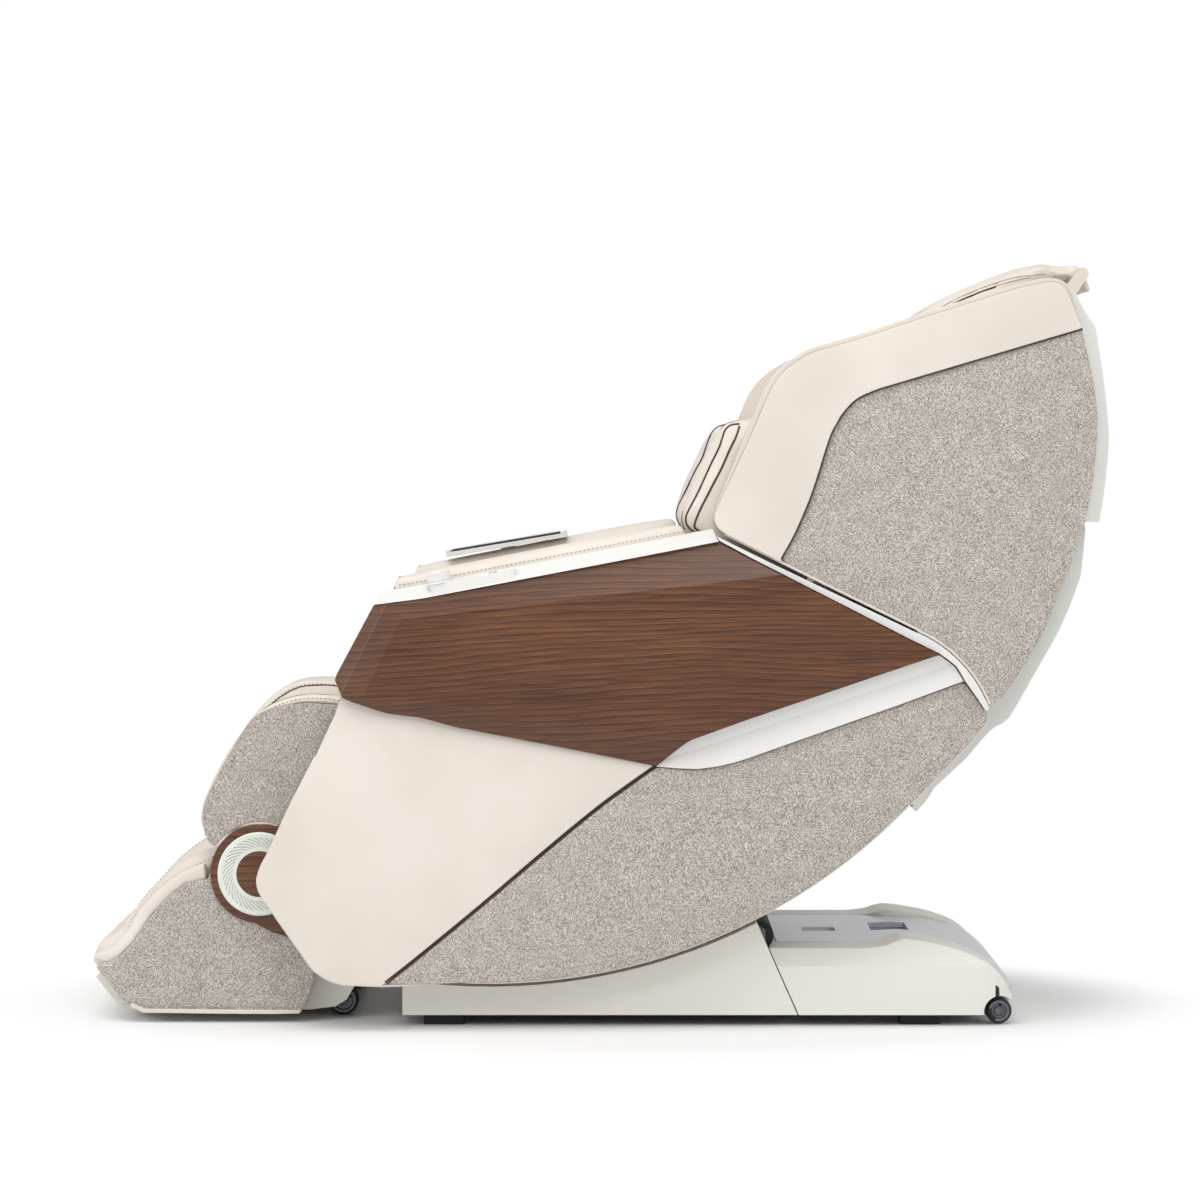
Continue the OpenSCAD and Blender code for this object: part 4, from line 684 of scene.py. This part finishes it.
def even_steps(points, gap):
    """Points a set distance apart along a line, with the way the line runs."""
    line = [Vector(p) for p in points]
    made = []
    carry = 0.0
    for a, b in zip(line, line[1:]):
        length = (b - a).length
        if length < 1e-9:
            continue
        while carry < length:
            made.append((a + (b - a) * carry / length, (b - a) / length))
            carry += gap
        carry -= length
    return made


def stitches(name, points, body):
    shape = bmesh.new()
    thick = stitch_radius * MM
    size = Matrix.Diagonal((thick, thick, stitch_length / 2 * MM, 1))
    for p, way in even_steps(points, stitch_gap):
        bmesh.ops.create_icosphere(shape, subdivisions=1, radius=1,
                                   matrix=Matrix.Translation(p * MM) @ laid_along(way) @ size)
    finished(name, shape, thread, body, (), 80)

# %% [markdown]
# A seam on a cushion has to follow a surface that the simulation makes. Its points are drawn
# on the side view, brought to the nearest place on the cushion, and evened out, because a
# puffed surface is never quite smooth.

# %% Lines laid on a cushion
def at_x(x, line, steps=6):
    """A smooth side line at one x."""
    return [(x, *p) for p in curve_through(line, steps)]


def laid_on(piece, points, lift=0.3, rounds=6):
    """Points brought to the nearest place on a piece's surface, lifted off it and evened out."""
    shape = bmesh.new()
    shape.from_mesh(piece.data)
    surface = BVHTree.FromBMesh(shape)
    shape.free()
    made = []
    for p in points:
        place, normal, _, _ = surface.find_nearest(Vector(p) * MM)
        made.append((place + normal * lift * MM) / MM)
    for _ in range(rounds):
        between = [(a + b * 2 + c) / 4 for a, b, c in zip(made, made[1:], made[2:])]
        made = made[:1] + between + made[-1:]
    return made

# %% [markdown]
# ### Stuffed pieces
# A cushion starts as a copy of its CAD solid. The copy is merged, remeshed into even quads and
# blown up a little by a cloth simulation without gravity, and no point may travel further than
# a cap. Points near a seam are pinned, so the leather domes between the seams. A smoothing pass
# follows.

# %% Even quads and smoothing
def merged_shape(node):
    """The CAD solid with its loose triangles joined."""
    shape = bmesh.new()
    shape.from_mesh(nodes[node].data)
    bmesh.ops.remove_doubles(shape, verts=shape.verts[:], dist=2e-6)
    return shape


def smoothed(piece, times, shrink=0.0):
    """Smooths a piece's mesh, then draws it in by shrink millimetres."""
    shape = bmesh.new()
    shape.from_mesh(piece.data)
    for _ in range(times):
        bmesh.ops.smooth_vert(shape, verts=shape.verts[:], factor=0.5, use_axis_x=True,
                              use_axis_y=True, use_axis_z=True)
    if shrink:
        shape.normal_update()
        for v in shape.verts:
            v.co -= v.normal * shrink * MM
    shape.to_mesh(piece.data)
    shape.free()

# %% The cushion helpers
def blow_up(piece, pressure, cap, steps, pinned):
    """Blows a piece up by cloth simulation, each point by no more than cap millimetres."""
    rest = [v.co.copy() for v in piece.data.vertices]
    group = piece.vertex_groups.new(name="seams")
    for v in piece.data.vertices:
        weight = pinned(*(v.co / MM)) if pinned else 0
        if weight > 0:
            group.add([v.index], weight, "REPLACE")
    cloth = piece.modifiers.new("stuffing", "CLOTH")
    cloth.settings.quality = 4
    cloth.settings.use_pressure = True
    cloth.settings.uniform_pressure_force = pressure
    cloth.settings.effector_weights.gravity = 0
    cloth.settings.tension_stiffness = 12
    cloth.settings.compression_stiffness = 12
    cloth.settings.bending_stiffness = 0.4
    cloth.settings.vertex_group_mass = "seams"
    cloth.point_cache.frame_start = 1
    cloth.point_cache.frame_end = steps
    for f in range(1, steps + 1):
        scene.frame_set(f)
    settle(piece)
    for v, start in zip(piece.data.vertices, rest):
        travel = v.co - start
        if travel.length > cap * MM:
            v.co = start + travel.normalized() * cap * MM
    scene.frame_set(1)


def puff(node, name, voxel, pressure, cap, steps, smooth, shrink, pinned=None):
    """A stuffed copy of a CAD node. pinned(x, y, z) in millimetres is 0 to 1."""
    begun = time.time()
    piece = as_object(name, merged_shape(node))
    even = piece.modifiers.new("even", "REMESH")
    even.mode = "VOXEL"
    even.voxel_size = voxel * MM
    settle(piece)
    smoothed(piece, smooth, shrink)
    blow_up(piece, pressure, cap, steps, pinned)
    smoothed(piece, smooth)
    print(f"  {piece.name}: {len(piece.data.vertices)} points, {time.time() - begun:.1f} s")
    return piece


def dress(piece, node, body):
    """A stuffed piece takes its leather and its body, and hides the CAD node that it stands for."""
    piece.data.materials.clear()
    piece.data.materials.append(cream_leather)
    piece.data.shade_smooth()
    hang(piece, body, (node,))


def eased_forward(piece, axis, start, reach, shift):
    """Brings the points beyond a start along an axis forward, by shift once reach is passed."""
    for v in piece.data.vertices:
        t = min(1.0, max(0.0, (v.co[axis] / MM - start) / reach))
        v.co.y -= shift * MM * t * t * (3 - 2 * t)

# %% [markdown]
# ### Moulded and machined pieces
# A hard cover keeps its CAD shape, but no real edge is sharp. A merged copy takes a small bevel
# on every edge that turns by more than the crease, and smooth shading between them. A second
# finish goes on the faces whose middle passes a test.

# %% The eased copy helper
def eased(node, width, crease=30, second=None, is_second=None):
    shape = merged_shape(node)
    bmesh.ops.dissolve_limit(shape, angle_limit=math.radians(0.6), verts=shape.verts[:],
                             edges=shape.edges[:])
    if is_second:
        for face in shape.faces:
            if is_second(face.calc_center_median() / MM):
                face.material_index = 1
    piece = as_object(node + "_eased", shape)
    shaded(piece, [finish_of[node]] + ([second] if second else []), crease)
    bevel = piece.modifiers.new("eased edges", "BEVEL")
    bevel.width = width * MM
    bevel.segments = 2
    bevel.limit_method = "ANGLE"
    bevel.angle_limit = math.radians(crease)
    bevel.use_clamp_overlap = True
    weighted = piece.modifiers.new("flat faces", "WEIGHTED_NORMAL")
    weighted.keep_sharp = True
    settle(piece)
    hang(piece, nodes[node]["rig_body"], (node,))
    return piece

# %% [markdown]
# ## Wings
# Each wing beside the head is a hard core under a leather band that runs up its front and
# along its top, with a cloth field behind. A dark piping cord marks the seam between the two,
# and thin welts close the band's outer edge and the wing's lower edge. The outer-edge welt is
# darker leather, whose tone is painted seam shade.

# %% Outlines of the wings
back_axis = (405, 424.5)
wing_front = [(178, 780), (183, 766), (195, 757), (268, 720), (336, 686), (482, 614.5)]
wing_rear = [(599, 501), (610, 508), (622, 523), (652, 569), (677, 615), (693, 657), (710, 699),
             (735, 769), (748, 840), (754, 899), (754, 939), (747, 989), (730, 1063)]
wing_top = [(727, 1071), (708, 1120), (702, 1129), (687, 1135), (669, 1133), (630, 1124),
            (511, 1087), (397, 1049), (323, 1028), (303, 1016), (287, 1004), (274, 991),
            (262, 971), (231, 898), (182, 794)]
wing_seam = [(730, 1064), (457, 983), (424, 973), (393, 959), (373, 939), (363, 923), (351, 898),
             (326, 819), (301, 759), (279, 719)]
grown_top = [wing_top[0], *moved_left(wing_top, -7)[1:-1], wing_top[-1]]
wing_outline = [*wing_front, *arc(back_axis, 203, 66, 22, 10), *wing_rear, *grown_top]
band_edge = [*wing_top, *wing_front[:4]]
band_outline = [*band_edge, (279.5, 714.5), *reversed(wing_seam)]
cloth_outline = [*[(y + 1, z - 1) for y, z in wing_seam], (300, 706), (336, 688), (484, 616),
                 *arc(back_axis, 205, 66, 22, 10), *wing_rear]
print("wing spans", min(p[1] for p in wing_outline), "to", max(p[1] for p in wing_outline))

# %% Wings
for side, flip in (("left", False), ("right", True)):
    side_panel(f"{side}_wing_core", wing_outline, inner=292, outer=357, rim=5, crown=0,
               finish=cream_leather, body="back", stands_for=(f"{side}_wing",), reach=12,
               both_sides=False, step=40, flip=flip)
side_panel("wing_bands", band_outline, inner=356.4, outer=369.6, rim=6.5, crown=1.8,
           finish=cream_leather, body="back", reach=10)
side_panel("wing_cloth", cloth_outline, inner=356.4, outer=365, rim=4, crown=3.2,
           finish=heather_fabric, body="back", stands_for=("wing_fabrics",), reach=8)
piping("wing_piping", at_x(368.4, wing_seam, 5), 1.7, dark_piping_and_painted_shade, "back")
# The band's edge welt is darker leather, its tone painted shade along the seam.
piping("wing_edge_welt", [(365.5, *p) for p in rounded(band_edge, 10, closed=False)], 1.0,
       seam_leather_painted_shade, "back")
lower_welt = [*rounded(wing_front[2:], 8, closed=False), *arc(back_axis, 203.4, 65.6, 22, 14)]
piping("wing_lower_welt", [(363, *p) for p in lower_welt], 2.4, cream_leather, "back")
print("wings made")

# %% [markdown]
# ## Arms
# Below the wood, the front of each arm is leather and the rear is cloth. Two dark piping cords
# run side by side down the long seam between them, and a cream welt closes the lower edge. The
# underside is an arc round the axis on which the body rocks.

# %% Outlines of the arms
rocking_axis = (-160, 957)
underside = arc(rocking_axis, 880, -45.5, -94, 22)
arm_nose = [(-267, 74), (-324, 72), (-383, 74), (-405, 81), (-427, 96), (-464, 149), (-500, 201),
            (-509, 216), (-512, 232), (-506, 252), (-494, 274), (-464, 339), (-423, 419)]
arm_rear = [(592, 474), (574, 451), (532, 406), (500, 372)]
wood_low = [(91, 407), (-25, 430), (-212, 466), (-263, 480), (-313, 486), (-333, 492),
            (-365, 503), (-381, 510)]
piping_line = [(-317, 77), (-264, 119), (-173, 194), (-84, 270), (7, 345), (90, 405)]
trim_low = [(123, 402), (154, 401), (184, 405), (210, 411), (226, 416), (308, 445), (458, 498),
            (539, 528), (556, 534)]
front_outline = [*[(y, z - 1) for y, z in wood_low], *reversed(arm_nose[1:]),
                 *[(y - 2, z) for y, z in piping_line]]
cloth_side = [*[(y + 2, z - 1) for y, z in piping_line], *[(y, z - 1) for y, z in trim_low],
              (574.8, 507.6), (587, 489), *arm_rear, *underside[1:22], (-267, 74)]
print(len(front_outline), "points round the leather,", len(cloth_side), "round the cloth")

# %% Arm panels
for name, outline, finish, node in (
        ("arm_front_leather", front_outline, cream_leather, "arm_front_panels"),
        ("arm_side_cloth", cloth_side, heather_fabric, "arm_side_panels")):
    side_panel(name, outline, inner=338, outer=351.6, rim=5, crown=2.6, finish=finish,
               body="seat", stands_for=(node,), reach=8)
for name, shift in (("front", 1.9), ("rear", -1.9)):
    piping(f"arm_piping_{name}", at_x(350.6, moved_left(piping_line, shift), 4), 1.6,
           dark_piping_and_painted_shade, "seat")
welt = rounded([*arm_rear, *underside[1:], *arm_nose], 8, closed=False)
piping("arm_edge_welt", [(347, *p) for p in welt], 2.0, cream_leather, "seat")
print("arm panels made")

# %% [markdown]
# ## Hard covers
# The wood panels, the white trims and consoles, the base and the shells of the back are eased
# copies of their CAD solids. The facets of wood and trim meet at a few degrees, so those
# pieces crease at eight. The trims are a touch glossier than the base. The top of the back's
# shell is covered in leather, and eases forward to the roll of the head pillow.

# %% Eased covers
for node, width, crease in (("left_wood_panel", 1.0, 8), ("right_wood_panel", 1.0, 8),
                            ("side_trims", 0.7, 8), ("arm_consoles", 0.8, 30),
                            ("base_front_cover", 1.6, 30), ("base_rear_cover", 2.0, 30),
                            ("base_top_panel", 1.0, 30), ("lower_shell", 1.2, 30),
                            ("belly_pan", 1.2, 30), ("foot_shell", 1.6, 30),
                            ("hinge_covers", 0.8, 30), ("control_pod", 0.8, 30),
                            ("tablet_dock", 0.6, 30), ("calf_frame", 1.0, 30)):
    eased(node, width, crease)
shell = eased("back_shell", 2.5, second=cream_leather, is_second=lambda p: p.z > 1094)
eased_forward(shell, axis=2, start=1075, reach=25, shift=14)
print("hard covers eased")

# %% [markdown]
# ## Wheels, knob, tablet and connector
# Most of these carry two finishes: rubber tyres on steel axles, black glass in a white tray,
# and bright pins in the grey connector. The knob and the quick key only get soft edges.

# %% Small hardware
def near_axis(centre, radius=5.4):
    return lambda p: math.hypot(p.y - centre[0], p.z - centre[1]) < radius


wheel_axis = (620, 21.5)
caster_axis = (-394, 24.5)
for node in ("rear_wheel_left", "rear_wheel_right"):
    eased(node, 0.5, second=frame_steel, is_second=near_axis(wheel_axis))
eased("foot_casters", 0.5, second=frame_steel, is_second=near_axis(caster_axis))
tablet_middle = Vector((-320.5, -149, 727))
tablet_level = Matrix.Rotation(-math.radians(9.5), 3, "X")


def on_glass(p):
    local = tablet_level @ (p - tablet_middle)
    return local.z > 0.95 and abs(local.x) < 46 and abs(local.y) < 92.5


eased("tablet", 0.7, second=screen_glass, is_second=on_glass)
eased("control_knob", 0.35)
eased("quick_key", 0.4)
eased("power_panel", 0.5, second=bright_steel,
      is_second=lambda p: abs(p.x + 35.5) < 3 and 454 < p.y < 476 and p.z > 96.5)
print("hardware eased")

# %% [markdown]
# ## Seat and back
# The seat and back cushions are sewn in long channels. The cloth simulation pins the channel
# lines, so each lobe swells on its own. The rear end of the pillow, its roll, is brought
# forward to the top of the wings.

# %% Seat, back, bolsters and pillow
def channels_at(middles, width):
    """Pins the points near the given x, fully on the line and not at all at width."""
    return lambda x, y, z: max(0.0, 1 - min(abs(x - m) for m in middles) / width)


seat = puff("seat_cushion", "seat_leather", voxel=6.5, pressure=4.0, cap=9, steps=16, smooth=2,
            shrink=2.5, pinned=channels_at((-120, 120), 9))
dress(seat, "seat_cushion", "seat")
back = puff("back_cushion", "back_leather", voxel=6.5, pressure=4.0, cap=9, steps=16, smooth=2,
            shrink=2.5, pinned=channels_at((-70, 70), 8))
dress(back, "back_cushion", "back")
flanks = puff("seat_side_pads", "seat_side_leather", voxel=5.5, pressure=3.0, cap=5, steps=14,
              smooth=2, shrink=2.0)
dress(flanks, "seat_side_pads", "seat")
shoulders = puff("bolsters", "shoulder_bolsters", voxel=5.0, pressure=3.0, cap=5, steps=14,
                 smooth=2, shrink=2.0)
dress(shoulders, "bolsters", "back")
pillow = puff("head_pillow", "pillow_leather", voxel=4.0, pressure=3.0, cap=5, steps=14,
              smooth=1, shrink=1.0)
eased_forward(pillow, axis=1, start=700, reach=45, shift=17)
dress(pillow, "head_pillow", "head_pillow")

# %% [markdown]
# A dark cord edges the front face of each shoulder bolster on both sides, and a third runs
# behind it. The pillow has a crescent gusset between two seams of darker leather, whose tone is
# painted seam shade, and a dark cord below it is a painted shadow in the gap.

# %% Cords and seams of bolsters and pillow
front_cord = [(146, 750), (137, 755), (131, 765), (129, 777), (132, 790), (146, 824), (161, 857),
              (173, 881), (184, 902), (190, 917), (201, 929), (219, 931)]
rear_cord = [(156, 750), (148, 760), (150, 774), (164, 805), (179, 834), (193, 862), (206, 888),
             (214, 906), (219, 924)]
for name, line, x, radius in (("outer", front_cord, 289, 1.5), ("inner", front_cord, 221, 1.5),
                              ("rear", rear_cord, 291.5, 1.6)):
    piping(f"bolster_cord_{name}", laid_on(shoulders, at_x(x, line)), radius, dark_piping_and_painted_shade, "back")
gusset_top = [(520, 1090), (532, 1103), (567, 1126), (611, 1142), (645, 1150), (673, 1154),
              (700, 1156)]
gusset_low = [(528, 1088), (539, 1101), (567, 1117), (597, 1129), (623, 1138), (648, 1145),
              (676, 1152)]
# The slit is the gap under the gusset: a dark cord laid along it is its painted shadow.
shadow_slit = [(540, 1092), (549, 1103), (577, 1119), (600, 1129), (622, 1136)]
# The gusset's two seams are darker leather, whose tone is painted seam shade.
for name, line, radius, finish in (("top", gusset_top, 0.9, seam_leather_painted_shade),
                                   ("low", gusset_low, 0.9, seam_leather_painted_shade),
                                   ("gap", shadow_slit, 1.5, dark_piping_and_painted_shade)):
    piping(f"pillow_seam_{name}", laid_on(pillow, at_x(158, line), 0), radius, finish,
           "head_pillow")
print("cords and seams laid")

# %% [markdown]
# ## Armrest pads
# Long narrow pads with a flat top and a stitched flank, and a dark cord across the front end.

# %% Armrest pads
rests = puff("arm_pads", "armrest_leather", voxel=4.0, pressure=2.0, cap=3, steps=12, smooth=2,
             shrink=1.5)
dress(rests, "arm_pads", "seat")
flank = [(-296, 679), (-263, 684), (-80, 719), (97, 753), (138, 761)]
stitches("armrest_stitches", laid_on(rests, at_x(330, flank)), "seat")
pad_end = [(322, -303, 672), (327, -306, 677), (328, -306, 684), (324, -303, 691),
           (312, -298, 695)]
piping("armrest_end_piping", laid_on(rests, pad_end), 1.2, dark_piping_and_painted_shade, "seat")

# %% [markdown]
# ## Leg rest
# The calf block has cloth sides, leather over its walls and a padded divider between the two
# wells. Stitches run along the walls and the divider, and a dark cord under two of the rows
# is painted shade in the leather's folds.

# %% Calf block
foot_axis = (-517, 231)
calf_front = [(-470, 492), (-498, 485), (-519, 475), (-535, 459), (-558, 423), (-582, 380),
              (-600, 341), (-604, 316), (-600, 290), (-592, 276)]
calf_outline = [(-378, 487), (-396, 491), (-441, 494), *curve_through(calf_front, 2),
                *arc(foot_axis, 80, 148, 24, 14), (-441, 270)]
side_panel("calf_side_cloth", calf_outline, inner=234.3, outer=243.5, rim=4, crown=1.4,
           finish=heather_fabric, body="calf", stands_for=("calf_sides",), reach=5)
calf = puff("calf_pads", "calf_leather", voxel=4.5, pressure=3.0, cap=4, steps=12, smooth=1,
            shrink=0.2)
dress(calf, "calf_pads", "calf")

# %% Seams of the calf block
wall_seam = [(-380, 495), (-396, 499), (-438, 503), (-470, 498), (-497, 488), (-515, 477),
             (-540, 449), (-560, 419), (-583, 379), (-600, 341), (-603, 316)]
ridge_seam = [(-380, 508), (-418, 515), (-458, 514), (-478, 509), (-500, 497), (-521, 479),
              (-543, 451), (-563, 420), (-586, 379), (-602, 341)]
for name, line, x in (("wall", wall_seam, 235), ("well", wall_seam, 203),
                      ("ridge", ridge_seam, 56)):
    stitches(f"calf_stitches_{name}", laid_on(calf, at_x(x, line)), "calf")
# Dark cords under two rows of stitches are painted shade in the folds of the leather.
for name, line, x in (("wall", wall_seam[:9], 207), ("ridge", ridge_seam[:8], 54)):
    fold_shade = at_x(x, moved_left(line, 4))
    piping(f"calf_fold_shade_{name}", laid_on(calf, fold_shade, 0), 1.1, dark_piping_and_painted_shade, "calf")
side_welt = [(-378, 489), (-396, 493), (-441, 496), *calf_front[:-1]]
# The side welt takes the darker seam leather, whose tone is painted seam shade.
piping("calf_side_welt", at_x(236, side_welt, 4), 1.3, seam_leather_painted_shade, "calf")
print("calf block made")

# %% [markdown]
# The foot section repeats the calf block, with its top in one soft piece that creases at the
# toe. A narrow leather hem runs under the cloth and is stitched above its edge.

# %% Foot section
foot_outline = [*arc(foot_axis, 76.5, 100, 178, 8), (-597, 222), (-629, 217), (-662, 192),
                (-687, 163), (-712, 126), (-732, 104), (-749, 94), (-771, 90), (-767, 80),
                (-751, 65), (-735, 40), (-716, 24), (-697, 16), (-577, 14.5), (-494, 14),
                (-456, 15), (-446, 28), (-430, 75), (-424, 140), (-442, 215),
                *arc(foot_axis, 76.5, 0, 80, 8)]
side_panel("foot_side_cloth", foot_outline, inner=230, outer=238.6, rim=3, crown=1.2,
           finish=heather_fabric, body="foot", stands_for=("foot_sides",), reach=5)
soles = puff("foot_pad", "foot_leather", voxel=5.0, pressure=3.0, cap=5, steps=14, smooth=2,
             shrink=0.5)
dress(soles, "foot_pad", "foot")

# %% Seams and hem of the foot section
rim_seam = [(-586, 262), (-626, 243), (-663, 219), (-696, 182), (-714, 154), (-724, 141)]
middle_seam = [(-600, 264), (-640, 248), (-683, 206), (-706, 178), (-725, 153), (-740, 139)]
for name, line, x in (("rim", rim_seam, 214), ("middle", middle_seam, 20)):
    stitches(f"foot_stitches_{name}", laid_on(soles, at_x(x, line)), "foot")
hem = [(-719, 26), (-698, 15.5), (-577, 14), (-494, 13.5), (-456, 14.5), (-454, 20), (-494, 20),
       (-577, 20.5), (-695, 22), (-714, 31)]
side_panel("foot_hem", hem, inner=236, outer=240.6, rim=1.2, crown=0, finish=cream_leather,
           body="foot", reach=2)
hem_seam = [(-708, 32), (-692, 26.5), (-577, 25), (-494, 24.5), (-456, 24.5)]
stitches("foot_hem_stitches", at_x(240.4, hem_seam, 3), "foot")
print("leg rest made")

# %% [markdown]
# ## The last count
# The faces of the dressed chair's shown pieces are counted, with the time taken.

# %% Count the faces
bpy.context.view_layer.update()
print(f"{sum(len(o.data.polygons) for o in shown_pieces() if o.type == 'MESH')} faces, "
      f"{time.time() - started:.0f} s")
